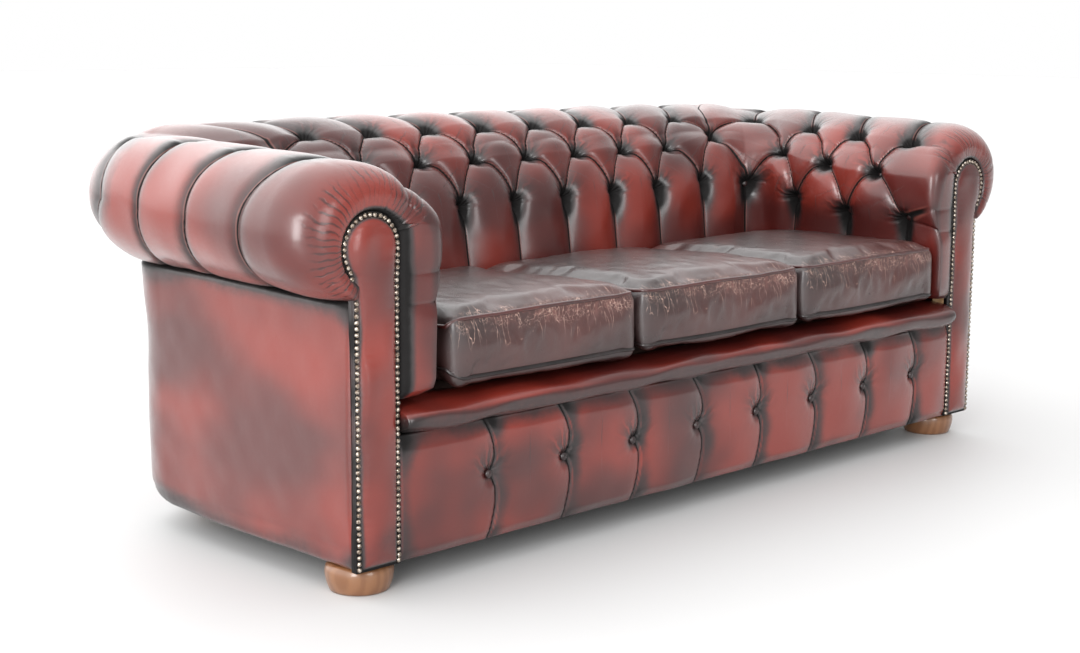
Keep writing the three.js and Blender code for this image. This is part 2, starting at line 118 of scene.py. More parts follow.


# %% [markdown]
# ## Making meshes
# A grid of points with triangles keeps a crease exactly on mesh edges. A remesher or a
# displace modifier would cut across the pleats and leave a ragged line along each of them.

# %% Mesh helpers
def make_mesh(name, points, faces, values=None):
    """An object from points and faces, with per-point values stored as named attributes."""
    mesh = bpy.data.meshes.new(name)
    mesh.from_pydata(np.asarray(points).tolist(), [], [list(map(int, f)) for f in faces])
    for key, value in (values or {}).items():
        layer = mesh.attributes.new(key, "FLOAT", "POINT")
        layer.data.foreach_set("value", np.asarray(value, dtype=float).ravel())
    mesh.polygons.foreach_set("use_smooth", [True] * len(mesh.polygons))
    mesh.update()
    piece = bpy.data.objects.new(name, mesh)
    SCENE.collection.objects.link(piece)
    return piece


def merge_coincident(piece):
    """Joins points that share one place, so that no face is left without area."""
    shape = bmesh.new()
    shape.from_mesh(piece.data)
    bmesh.ops.remove_doubles(shape, verts=shape.verts, dist=1e-6)
    shape.to_mesh(piece.data)
    shape.free()


def grid_faces(rows, columns, wrap=False):
    """Quads of a rows x columns grid of points, numbered row by row."""
    across = columns if wrap else columns - 1
    i, j = np.meshgrid(np.arange(rows - 1), np.arange(across), indexing="ij")
    nxt = (j + 1) % columns
    a, b = i * columns + j, i * columns + nxt
    c, d = (i + 1) * columns + nxt, (i + 1) * columns + j
    return np.stack([a, b, c, d], -1).reshape(-1, 4)


def end_caps(rings, sides):
    """The two faces that close a grid of rings, first and last."""
    return [list(range(sides))[::-1], list(range((rings - 1) * sides, rings * sides))]


def finish_piece(piece, material, nodes=()):
    """Material, frame body and the solids it stands for."""
    piece.data.materials.clear()
    piece.data.materials.append(material)
    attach(piece, ROOT)
    if nodes:
        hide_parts(*nodes)
    print(piece.name, len(piece.data.polygons), "faces")
    return piece


# %% [markdown]
# ## Wiring materials
# Every look is made of nodes. A small class with short calls for sums, ramps, mixes and noise keeps a
# long tree readable, and it lets a number or a socket stand in the same place.

# %% Node helpers
def new_group(name, inputs, outputs):
    group = bpy.data.node_groups.new(name, "ShaderNodeTree")
    for label, kind, default in inputs:
        socket = group.interface.new_socket(label, in_out="INPUT", socket_type=kind)
        if default is not None:
            socket.default_value = default
    for label, kind in outputs:
        group.interface.new_socket(label, in_out="OUTPUT", socket_type=kind)
    start = group.nodes.new("NodeGroupInput")
    end = group.nodes.new("NodeGroupOutput")
    return group, start, end


class Wiring:
    """Short calls for building a node tree."""

    def __init__(self, tree):
        self.tree = tree

    def link(self, source, target):
        self.tree.links.new(source, target)

    def node(self, kind, **settings):
        made = self.tree.nodes.new(kind)
        for key, value in settings.items():
            setattr(made, key, value)
        return made

    def feed(self, socket, value):
        if isinstance(value, bpy.types.NodeSocket):
            self.link(value, socket)
        else:
            socket.default_value = value

    def math(self, operation, a, b=0.0):
        made = self.node("ShaderNodeMath", operation=operation)
        self.feed(made.inputs[0], a)
        self.feed(made.inputs[1], b)
        return made.outputs[0]

    def times(self, a, b):
        return self.math("MULTIPLY", a, b)

    def plus(self, a, b):
        return self.math("ADD", a, b)

    def minus(self, a, b):
        return self.math("SUBTRACT", a, b)

    def ramp(self, value, low, high, to_low=0.0, to_high=1.0):
        made = self.node("ShaderNodeMapRange", interpolation_type="SMOOTHSTEP")
        self.feed(made.inputs["Value"], value)
        made.inputs["From Min"].default_value = low
        made.inputs["From Max"].default_value = high
        made.inputs["To Min"].default_value = to_low
        made.inputs["To Max"].default_value = to_high
        return made.outputs["Result"]

    def mix(self, factor, a, b, blend="MIX"):
        made = self.node("ShaderNodeMix", data_type="RGBA", blend_type=blend)
        self.feed(made.inputs[0], factor)
        self.feed(made.inputs[6], a)
        self.feed(made.inputs[7], b)
        return made.outputs[2]

    def noise(self, place, scale, detail=3.0, rough=0.5):
        made = self.node("ShaderNodeTexNoise")
        self.feed(made.inputs["Vector"], place)
        made.inputs["Scale"].default_value = scale
        made.inputs["Detail"].default_value = detail
        made.inputs["Roughness"].default_value = rough
        return made.outputs["Fac"]

    def value(self, name):
        made = self.node("ShaderNodeAttribute", attribute_name=name)
        return made.outputs["Fac"]

    def bump(self, height, strength, distance, shader):
        """Feeds a height to the shader's normal; the distance is in metres."""
        made = self.node("ShaderNodeBump")
        made.inputs["Strength"].default_value = strength
        made.inputs["Distance"].default_value = distance
        self.link(height, made.inputs["Height"])
        self.link(made.outputs["Normal"], shader.inputs["Normal"])


def start_material(name):
    """A new material, its wiring, its shader and a place socket in the object's own metres."""
    material = bpy.data.materials.new(name)
    material.use_nodes = True
    wires = Wiring(material.node_tree)
    place = wires.node("ShaderNodeTexCoord").outputs["Object"]
    return material, wires, material.node_tree.nodes["Principled BSDF"], place


# %% [markdown]
# ## The camera
# The view is from the sofa's left front corner, a little above its arms, with a long lens, so upright
# lines stay nearly upright. Its turn, tilt and slight roll are written as angles: a matrix built from
# three angles is easier to check than a target object with a constraint.

# %% Camera
CAMERA_PLACE = Vector((-2.5924, -2.4945, 0.9117))
CAMERA_TURN = math.radians(44.782)
CAMERA_DOWN = math.radians(9.628)
CAMERA_ROLL = math.radians(0.364)
CAMERA_LENS = 58.33

ahead = Vector((math.sin(CAMERA_TURN) * math.cos(CAMERA_DOWN),
                math.cos(CAMERA_TURN) * math.cos(CAMERA_DOWN),
                -math.sin(CAMERA_DOWN)))
level_right = Vector((math.cos(CAMERA_TURN), -math.sin(CAMERA_TURN), 0))
level_up = level_right.cross(ahead)
camera_right = math.cos(CAMERA_ROLL) * level_right + math.sin(CAMERA_ROLL) * level_up
camera_up = -math.sin(CAMERA_ROLL) * level_right + math.cos(CAMERA_ROLL) * level_up
camera_data = bpy.data.cameras.new("camera")
camera_data.lens = CAMERA_LENS
camera_data.sensor_width = 36
camera_data.sensor_fit = "HORIZONTAL"
camera_data.clip_end = 60
camera = bpy.data.objects.new("camera", camera_data)
camera.matrix_world = Matrix((
    (camera_right.x, camera_up.x, -ahead.x, CAMERA_PLACE.x),
    (camera_right.y, camera_up.y, -ahead.y, CAMERA_PLACE.y),
    (camera_right.z, camera_up.z, -ahead.z, CAMERA_PLACE.z),
    (0, 0, 0, 1),
))
SCENE.collection.objects.link(camera)
SCENE.camera = camera
print("camera at", [round(v, 3) for v in CAMERA_PLACE])

# %% [markdown]
# ## The studio
# A white sweep with two large soft lamps, a tall one in front and a tall one at the left, and a soft
# glow from above and behind. Leather shows its shape only by what it reflects, so lamp size matters
# more than lamp power: small lamps would leave hard white dots on every puff.

# %% Floor and lights
def add_lamp(name, place, target, size, power):
    lamp = bpy.data.lights.new(name, "AREA")
    lamp.shape = "RECTANGLE"
    lamp.size, lamp.size_y = size
    lamp.energy = power
    holder = bpy.data.objects.new(name, lamp)
    holder.location = place
    aim = Vector(target) - Vector(place)
    holder.rotation_euler = aim.to_track_quat("-Z", "Y").to_euler()
    holder.visible_camera = False
    SCENE.collection.objects.link(holder)


FLOOR_HALF = 30.0
floor = make_mesh("floor", [(-FLOOR_HALF, -FLOOR_HALF, 0), (FLOOR_HALF, -FLOOR_HALF, 0),
                            (FLOOR_HALF, FLOOR_HALF, 0), (-FLOOR_HALF, FLOOR_HALF, 0)], [(0, 1, 2, 3)])
floor_paint, _, floor_shader, _ = start_material("white_floor")
floor_shader.inputs["Base Color"].default_value = (0.55, 0.55, 0.55, 1)
floor_shader.inputs["Roughness"].default_value = 0.6
floor.data.materials.append(floor_paint)

GLOW_FROM = (-0.60, 0.75, 0.28)
GLOW_RANGE = (0.40, 2.20)
world = bpy.data.worlds.new("studio")
world.use_nodes = True
sky = Wiring(world.node_tree)
direction = sky.node("ShaderNodeTexCoord").outputs["Generated"]
toward = sky.node("ShaderNodeVectorMath", operation="DOT_PRODUCT")
toward.inputs[1].default_value = GLOW_FROM
sky.link(direction, toward.inputs[0])
glow = sky.ramp(toward.outputs["Value"], -1.0, 1.0, *GLOW_RANGE)
height = sky.node("ShaderNodeSeparateXYZ")
sky.link(direction, height.inputs[0])
near_level = sky.ramp(height.outputs["Z"], -0.20, 0.40, 0.70, 1.15)
overhead = sky.ramp(height.outputs["Z"], 0.55, 1.0, 0.0, 0.3)
shaped = sky.node("ShaderNodeMath", operation="MULTIPLY_ADD")
sky.link(glow, shaped.inputs[0])
sky.link(near_level, shaped.inputs[1])
sky.link(overhead, shaped.inputs[2])
backdrop = sky.node("ShaderNodeMix")
sky.link(sky.node("ShaderNodeLightPath").outputs["Is Camera Ray"], backdrop.inputs[0])
sky.link(shaped.outputs[0], backdrop.inputs[2])
backdrop.inputs[3].default_value = 1.0
background = world.node_tree.nodes["Background"]
sky.link(backdrop.outputs[0], background.inputs["Strength"])
background.inputs["Color"].default_value = (1.0, 1.0, 1.0, 1)
SCENE.world = world
SCENE.view_settings.view_transform = "Standard"
add_lamp("front_lamp", (-1.0, -4.4, 1.6), (0.2, 0.0, 0.5), (1.3, 2.2), 48)
add_lamp("window_lamp", (-3.8, -2.2, 1.35), (-0.6, 0.0, 0.5), (1.1, 2.2), 95)

# %% [markdown]
# ## The line that arms and back follow
# Seen from above, arm, corner and back are one line. `run` walks along it: 0 to 1 is the arm from
# front to rear, 1 to 2 the corner, 2 to 3 half the back. `out` is the distance outward from it. One
# walk for all three keeps the leather unbroken round the corner, as a stuffed corner is.

# %% Plan line
CORNER_GROW_OUT, CORNER_GROW_IN = 1.3, 0.4


def corner_radius(out):
    return CORNER_R + out * np.where(out > 0, CORNER_GROW_OUT, CORNER_GROW_IN)


def plan_point(out, run):
    """x and y on the right half, for arrays of out and run."""
    radius = corner_radius(out)
    x, y = BASE_HALF + out, REAR + out
    angle = np.clip(run - 1, 0, 1) * math.pi / 2
    along = FRONT + (y - radius - FRONT) * np.clip(run, None, 1)
    px = x - radius + radius * np.cos(angle)
    py = along + radius * np.sin(angle)
    back = run > 2
    return np.where(back, (x - radius) * (3 - run), px), np.where(back, y, py)


# %% Padding outlines
ARM = {"inside": [(-0.166, 0.322), (-0.168, 0.446), (-0.194, 0.522), (-0.188, 0.602)],
       "roll": (-0.020, 0.592, 0.140, 0.155, 0.117, 0.108)}
BACK = {"inside": [(-0.243, 0.322), (-0.240, 0.440), (-0.228, 0.560), (-0.192, 0.648)],
        "roll": (-0.028, 0.630, 0.108, 0.150, 0.112, 0.130)}
NOSE = {"inside": [(-0.157, 0.322), (-0.159, 0.440), (-0.166, 0.515), (-0.156, 0.590)],
        "roll": (-0.036, 0.572, 0.074, 0.112, 0.084, 0.085)}
ROLL_START = math.radians(150)


def cover_line(outline, u):
    """[out, up] for each u: 0 to 1 climbs the inside, 1 to 2 goes round the roll to the outside."""
    centre_out, centre_up, radius, shoulder, up, down = outline["roll"]
    end = -math.acos(-centre_out / radius)
    angle = ROLL_START + (end - ROLL_START) * np.clip(u - 1, 0, 1)
    height = np.sin(angle) * np.where(angle > 0, up, down)
    reach = np.cos(angle) * np.where(np.cos(angle) < 0, shoulder, radius)
    arc = np.stack([centre_out + reach, centre_up + height], -1)
    begin = (centre_out + shoulder * math.cos(ROLL_START), centre_up + up * math.sin(ROLL_START))
    knots = np.array([outline["inside"][0], *outline["inside"], begin, begin])
    place = np.clip(u, 0, 1) * 4
    k = np.clip(place.astype(int), 0, 3)
    w = (place - k)[..., None]
    curve = through(knots[k], knots[k + 1], knots[k + 2], knots[k + 3], w)
    return np.where((u > 1)[..., None], arc, curve)


def padding(run, nose, u):
    """[out, up] of the stuffed surface: arms fall towards the front, and the arm end rounds off."""
    arm, back, end = cover_line(ARM, u), cover_line(BACK, u), cover_line(NOSE, u)
    turn = smooth(run, 1, 2)
    rise = np.maximum(turn, np.clip(run, 0, 1) * 0.6)
    out = mix(arm[..., 0], back[..., 0], turn)
    up = mix(arm[..., 1], back[..., 1], rise)
    return mix(end[..., 0], out, nose), mix(end[..., 1], up, nose)


print("arm roll top", cover_line(ARM, np.array([1.26])))

# %% [markdown]
# ## Where the buttons sit
# Three rows of buttons, set like bricks. Along the sofa, each button of the upper and lower row has a
# whole number and each middle one a half, counted from the arm front to the middle of the back. The
# table says at what length each number comes, for the lower row, the upper row, the outermost line
# of the roll and the line where the roll meets the outside. Rows drop towards the arm front.

# %% Button rows
INNER = -0.19
ARM_RUN = REAR + INNER - corner_radius(INNER) - FRONT
BEND_RUN = corner_radius(INNER) * math.pi / 2
BACK_RUN = BASE_HALF + INNER - corner_radius(INNER)
HALF_LENGTH = float(ARM_RUN + BEND_RUN + BACK_RUN)

COUNT = [-0.5, 0, 1, 2, 3, 3.5, 4, 5, 6, 7, 7.5]
LOWER_AT = [-0.010, 0.078, 0.234, 0.379, 0.480, 0.562, 0.636, 0.798, 0.952, 1.106, HALF_LENGTH]
UPPER_AT = [0.005, 0.091, 0.222, 0.346, 0.473, 0.582, 0.686, 0.828, 0.970, 1.112, HALF_LENGTH]
OUTER_AT = [0.000, 0.123, 0.246, 0.364, 0.443, 0.497, 0.665, 0.810, 0.960, 1.110, HALF_LENGTH]
JOIN_AT = [0.000, 0.144, 0.285, 0.402, 0.482, 0.515, 0.660, 0.805, 0.957, 1.108, HALF_LENGTH]
LOWER_UP = ([0.068, 0.222, 0.367, 0.480, 0.636, 0.700], [0.484, 0.488, 0.512, 0.556, 0.574, 0.566])
MIDDLE_UP = ([0.150, 0.300, 0.430, 0.583, 0.720], [0.601, 0.613, 0.640, 0.680, 0.660])
UPPER_UP = ([0.091, 0.222, 0.346, 0.473, 0.686], [0.678, 0.687, 0.698, 0.713, 0.721])


def length_along(run):
    """Length along the inside of the padding for each run."""
    arm = ARM_RUN * np.clip(run, 0, 1)
    return arm + BEND_RUN * np.clip(run - 1, 0, 1) + BACK_RUN * np.clip(run - 2, 0, 1)


print("half length", round(HALF_LENGTH, 3))

# %% [markdown]
# ## One grid for the whole cover
# The grid's columns go from arm front to arm front and its rows from under the cushion, up, over the
# roll and down to the outside panel. Rows lie closer where the folds are. The first columns close the
# arm's front from the nails outward, then a quarter round leads into the roll.

# %% Grid of the cover
NOSE_DEPTH, NOSE_DEPTH_IN = 0.075, 0.030
NOSE_FORWARD, NOSE_FORWARD_IN = 0.011, 0.020


def nose_weight(depth, u):
    """0 at the arm front, 1 where the stuffing is full: the inside edge rounds quickly, the roll slowly."""
    near = 1 - np.clip(depth / mix(NOSE_DEPTH_IN, NOSE_DEPTH, smooth(u, 0.80, 1.35)), 0, 1)
    return np.sqrt(1 - near ** 2)


def column_plan():
    """run and tuck (1 under the nails) per column."""
    tuck = np.linspace(1, 0, 15)[:-1]
    turn = np.linspace(0, math.pi / 2, 27)
    depth = NOSE_DEPTH * (1 - np.cos(turn))
    rest = np.concatenate([
        np.linspace(NOSE_DEPTH / ARM_STRAIGHT, 1, 104)[1:],
        np.linspace(1, 2, 58)[1:],
        np.linspace(2, 3, 168)[1:],
    ])
    run = np.concatenate([np.zeros(len(tuck)), depth / ARM_STRAIGHT, rest])
    tucked = np.concatenate([tuck, np.zeros(len(turn) + len(rest))])
    return run, tucked


ROW_U = np.concatenate([
    np.linspace(0, 0.34, 10)[:-1],
    np.linspace(0.34, 1, 66)[:-1],
    np.linspace(1, 1.18, 30)[:-1],
    np.linspace(1.18, 2, 76),
])
column_run, column_tuck = column_plan()
RUN, U = np.meshgrid(column_run, ROW_U, indexing="ij")
NOSE_W = nose_weight(RUN * ARM_STRAIGHT, U)
TUCK, _ = np.meshgrid(column_tuck, ROW_U, indexing="ij")
print("half grid", RUN.shape)

# %% [markdown]
# ## Pleats from the button count
# `count` says how far along the rows a point is, `rise` how far up: 0 at the lower row, 0.5 at the
# middle, 1 at the upper. Lines where count + rise or count - rise is whole join the buttons, and those
# are the pleats. Bending `rise` makes each pleat leave its upper button level and reach the lower one
# upright, the hanging scallop that stuffed leather falls into.

# %% Count and rise
ROLL_TOP_U, UPPER_ROW_U, ROLL_SIDE_U = 1.255, 1.10, 1.65


def tuft_coordinates(run, u):
    """Count, rise and the height above the upper row for each grid point."""
    up = padding(run, 1.0, u)[1]
    length = length_along(run)
    lower, middle, upper = (np.interp(length, *row) for row in (LOWER_UP, MIDDLE_UP, UPPER_UP))
    inside = u < ROLL_TOP_U
    share_low = np.clip((up - lower) / (middle - lower), 0, 1)
    share_high = np.clip((up - middle) / (upper - middle), 0, 1)

    def scallop(share):
        fall = 1 - share
        bend = np.sqrt(np.clip(1 - (1 - fall) ** 2, 0, 1))
        return 1 - mix(fall, bend, 0.72)

    level = np.where(inside, 0.5 * (share_low + share_high), 1.0)
    rise = np.where(inside, 0.5 * (scallop(share_low) + scallop(share_high)), 1.0)
    beyond = np.clip((u - UPPER_ROW_U) / (ROLL_SIDE_U - UPPER_ROW_U), 0, 1)
    under = np.clip((u - ROLL_SIDE_U) / 0.35, 0, 1)
    count = mix(np.interp(length, LOWER_AT, COUNT), np.interp(length, UPPER_AT, COUNT), level)
    count = mix(count, np.interp(length, OUTER_AT, COUNT), smooth(beyond, 0.0, 1.0))
    count = mix(count, np.interp(length, JOIN_AT, COUNT), under)
    above = np.clip(up - upper, 0, None) + 0.5 * np.clip(u - 1.3, 0, None)
    return count, rise, np.where(inside, np.clip(up - upper, 0, None), above)


COUNT_AT, RISE, ABOVE = tuft_coordinates(RUN, U)
PLAIN_UP = padding(RUN, 1.0, U)[1]
print("count", COUNT_AT.min().round(2), COUNT_AT.max().round(2))


# %% The stuffed surface without its folds
def crest_surface():
    """Points of the cover before buttoning: wall, roll and the part that turns in under the nails."""
    out, up = padding(RUN, NOSE_W, U)
    angle = np.arctan2(up - ARC_UP, out - ARC_OUT)
    inner_r = ARC_R - 0.001
    arc_point = np.stack([ARC_OUT + inner_r * np.cos(angle), ARC_UP + inner_r * np.sin(angle)], -1)
    leg = np.stack([np.full(out.shape, -FACING_WIDTH), up], -1)
    round_top = smooth(U, 0.85, 1.0)[..., None]
    under_nails = mix(leg, arc_point, round_top)
    out = mix(out, under_nails[..., 0], TUCK)
    up = mix(up, under_nails[..., 1], TUCK)
    foot_round = 1 - np.sqrt(1 - (1 - np.clip(U / 0.09, 0, 1)) ** 2)
    out = out + 0.022 * foot_round * (1 - TUCK)
    x, y = plan_point(out, RUN)
    front_share = np.clip(1 - RUN * ARM_STRAIGHT / NOSE_DEPTH, 0, 1)
    forward = mix(NOSE_FORWARD_IN, NOSE_FORWARD, smooth(U, 0.80, 1.35))
    y = y - (forward * np.sqrt(1 - TUCK ** 2) * (1 - foot_round) + 0.0015) * front_share
    return np.stack([x, y, up], -1)


def grid_normals(points):
    """Unit normals of the grid, turned so that the inside of the back faces forward."""
    along = np.gradient(points, axis=0)
    up = np.gradient(points, axis=1)
    normal = np.cross(along, up)
    size = np.linalg.norm(normal, axis=-1, keepdims=True)
    normal = normal / np.maximum(size, 1e-12)
    return -normal if normal[BACK_MIDDLE][1] > 0 else normal


BACK_MIDDLE = (-1, 70)
CREST = crest_surface()
CREST_NORMAL = grid_normals(CREST)
print("inside of the back faces", CREST_NORMAL[BACK_MIDDLE].round(2))

# %% [markdown]
# ## Depth of the folds
# Between pleats the leather swells: the depth is the product of two arches, one per pleat family, so it
# is zero on a pleat and full in the middle. Every button adds a pit. Over the roll only the upright
# seams go on, shallow and narrow, and they fade out at the arm front.

# %% Fold depth
PLEAT_DEPTH = 0.022
SEAM_DEPTH = 0.0085
BUTTON_PITCH = 0.145
CORNER_COUNT = 3.5
FULL_COUNT = 15


def button_list():
    """(count, rise) of every button on the right half, the one in the middle of the back included."""
    spots = []
    for k in range(8):
        spots.append((float(k), 0.0))
        spots.append((k + 0.5, 0.5))
        spots.append((float(k), 1.0))
    return spots


def find_spot(count, rise):
    """Grid place (column, row) of a button."""
    off = (COUNT_AT - count) ** 2 * 4 + (RISE - rise) ** 2
    off = off + (TUCK > 0) * 9
    if rise == 0.0:
        length = length_along(RUN)
        lower = np.interp(length, *LOWER_UP)
        off = (COUNT_AT - count) ** 2 + ((PLAIN_UP - lower) / 0.1) ** 2 + (U > 1) * 9
    if rise == 1.0:
        off = (COUNT_AT - count) ** 2 + (ABOVE / 0.1) ** 2 + (RISE < 0.999) * 9
    return np.unravel_index(np.argmin(off), off.shape)


BUTTONS = []
for spot_count, spot_rise in button_list():
    column, row = find_spot(spot_count, spot_rise)
    BUTTONS.append((spot_count, spot_rise, column, row))


def nearest_button():
    """Offset along the sofa and upward to the nearest button, in metres, for each grid point."""
    best = np.full(RUN.shape, 9.0)
    side, height = np.zeros(RUN.shape), np.zeros(RUN.shape)
    for _, _, column, row in BUTTONS:
        place = CREST[column, row]
        normal = CREST_NORMAL[column, row]
        upward = np.array([0, 0, 1.0]) - normal * normal[2]
        upward /= np.linalg.norm(upward)
        across = np.cross(upward, normal)
        delta = CREST - place
        dx, dy = delta @ across, delta @ upward
        far = np.sqrt((delta ** 2).sum(-1))
        closer = far < best
        best = np.where(closer, far, best)
        side = np.where(closer, dx, side)
        height = np.where(closer, dy, height)
    return best, side, height


def arch(x, power, lean):
    """0 on whole numbers and 1 between them, steeper on the side where `lean` is below 1."""
    part = np.clip(x - np.floor(x), 1e-6, 1 - 1e-6)
    return np.sin(math.pi * part ** lean) ** power


BUTTON_FAR, BUTTON_SIDE, BUTTON_UP = nearest_button()
ROLL = smooth(ABOVE, 0.004, 0.040)
FRONT_PANEL = smooth(-COUNT_AT, 0.0, 0.10)
LEVEL_COUNT = np.where(COUNT_AT < 0, COUNT_AT * 0.20, COUNT_AT)
outer_zone = (COUNT_AT < 0) & ((RISE <= 0) | (RISE >= 1))
line_count = np.where(outer_zone, COUNT_AT, LEVEL_COUNT)
PHASE_A = line_count + RISE
PHASE_B = line_count - RISE

PUFF_POWER = 0.44
puff = arch(LEVEL_COUNT + RISE, PUFF_POWER, 0.88) * arch(RISE - LEVEL_COUNT, PUFF_POWER, 0.88)
row_line = np.interp(length_along(RUN), *LOWER_UP)
from_row = np.where(RISE <= 0, row_line - PLAIN_UP, ABOVE)
beside = arch(np.clip(COUNT_AT, -0.5, 0), 2 * PUFF_POWER, 1.0) * (1 - np.exp(-(from_row / 0.012) ** 1.2))
puff = np.where(outer_zone, mix(puff, beside, FRONT_PANEL), puff)
seam_far = np.abs(COUNT_AT - np.round(COUNT_AT)) * BUTTON_PITCH
seam = np.exp(-(seam_far / 0.008) ** 1.2)
front_depth = RUN * ARM_STRAIGHT
front_fade = smooth(front_depth, 0.004, 0.060)
flute = smooth(PLAIN_UP, 0.38, 0.50)
pleat_depth = PLEAT_DEPTH * mix(0.62, 1.0, flute) * mix(0.45, 1.0, front_fade)
depth = (1 - puff) * pleat_depth * (1 - ROLL) + seam * SEAM_DEPTH * ROLL * front_fade
corner_far = np.abs(COUNT_AT - CORNER_COUNT) * 0.12
corner_fold = np.exp(-(corner_far / 0.016) ** 1.3) * smooth(RISE, 0.5, 0.8) * smooth(U, 1.45, 1.20)
depth += 0.014 * corner_fold
below_lower_row = (RISE < 0.02) & (BUTTON_UP < 0)
stretch = np.where(below_lower_row, 0.50, 1.0)
squeeze = np.where(below_lower_row, 1.25, 1.0)
pit_far = np.sqrt((BUTTON_SIDE * squeeze) ** 2 + (BUTTON_UP * stretch) ** 2 + 0.3 * np.clip(
    BUTTON_FAR ** 2 - BUTTON_SIDE ** 2 - BUTTON_UP ** 2, 0, None))
PIT = np.exp(-(pit_far / 0.022) ** 2)
pit_depth = np.where(RISE < 0.25, 0.009, np.where(RISE < 0.75, 0.016, 0.010))
core = np.exp(-(pit_far / 0.0105) ** 2)
depth += pit_depth * PIT + 0.013 * core
depth *= 1 - TUCK
print("deepest fold", round(float(depth.max()), 4))

# %% Cover points
lumps = 0.0016 * waves(length_along(RUN), U * 0.5, 11, 0.13)
lumps = lumps * mix(0.25, 1.0, smooth(front_depth, 0.0, 0.16)) * (1 - TUCK)
COVER = CREST - CREST_NORMAL * (depth + 0.002 - lumps * puff)[..., None]

# Gathers where the leather is drawn in round the arm end's nails.
arc_angle = np.arctan2(CREST[..., 2] - ARC_UP, CREST[..., 0] - BASE_HALF - ARC_OUT)
gather = np.abs(np.sin(arc_angle * 17 + 1.1 * np.sin(arc_angle * 7 + 1)))
gather += 0.5 * np.abs(np.sin(arc_angle * 29 + 1.5 * np.sin(arc_angle * 5)))
front_far = np.where(TUCK > 0, 0, front_depth)
gather_length = 0.032 + 0.026 * smooth(U, 1.55, 1.15)
gather_fade = np.clip(1 - front_far / gather_length, 0, 1) ** 0.8 * (1 - smooth(TUCK, 0.75, 1.0))
gather_fade *= smooth(U, 0.75, 1.05)
COVER += CREST_NORMAL * (0.0016 * np.clip(gather, 0, 0.8) * gather_fade)[..., None]
GATHER_DARK = np.clip(1 - 2.6 * gather, 0, 1) * gather_fade
print("cover points", COVER.shape)

# %% [markdown]
# ## Leather
# Antiqued leather is dyed red, rubbed with dark wax that stays in folds, and polished by use on the
# crests. So colour follows shape: stored values on each point say where it lies in a fold, near a
# button or on a roll, and the material mixes three colours by them. The dark in folds, pits, pleat
# lines and gathers is partly that wax and partly painted shade; the pale rim along each pleat is partly
# rubbed wear and partly a painted highlight. The fine grain is bump only; the wrinkles round buttons
# and arm ends also get painted shade.

# %% Grain group
grain_group, grain_in, grain_out = new_group(
    "leather_grain", [("Place", "NodeSocketVector", None)],
    [("Height", "NodeSocketFloat"), ("Cloud", "NodeSocketFloat"), ("Fleck", "NodeSocketFloat")])
wires = Wiring(grain_group)
cells = wires.node("ShaderNodeTexVoronoi", feature="DISTANCE_TO_EDGE")
wires.link(grain_in.outputs["Place"], cells.inputs["Vector"])
cells.inputs["Scale"].default_value = 650
pore = wires.ramp(cells.outputs["Distance"], 0.0, 0.25)
crinkle = wires.noise(grain_in.outputs["Place"], 90, 4)
height = wires.plus(wires.times(pore, 0.35), wires.times(crinkle, 0.9))
wires.link(height, grain_out.inputs["Height"])
drawn = wires.node("ShaderNodeMapping")
drawn.inputs["Scale"].default_value = (0.8, 0.55, 1.0)
wires.link(grain_in.outputs["Place"], drawn.inputs["Vector"])
wires.link(wires.noise(drawn.outputs["Vector"], 4.6, 2, 0.45), grain_out.inputs["Cloud"])
wires.link(wires.noise(grain_in.outputs["Place"], 60, 5, 0.7), grain_out.inputs["Fleck"])
print("group", grain_group.name)


# %% Oxblood leather material
# Dark wax together with painted shade, for folds, pits and creases.
WAX_AND_SHADE_BLACK = (0.004, 0.003, 0.003, 1)
WAX_AND_SHADE_GREY = (0.026, 0.009, 0.009, 1)
RED_DEEP = (0.080, 0.010, 0.008, 1)
RED_BRIGHT = (0.205, 0.023, 0.014, 1)
# A pale rim along the pleats: partly rubbed wear, partly a painted highlight.
RUBBED_AND_HIGHLIGHT_RED = (0.30, 0.09, 0.07, 1)
# Painted shade in pleat creases.
CREASE_SHADE_BLACK = (0.003, 0.002, 0.002, 1)


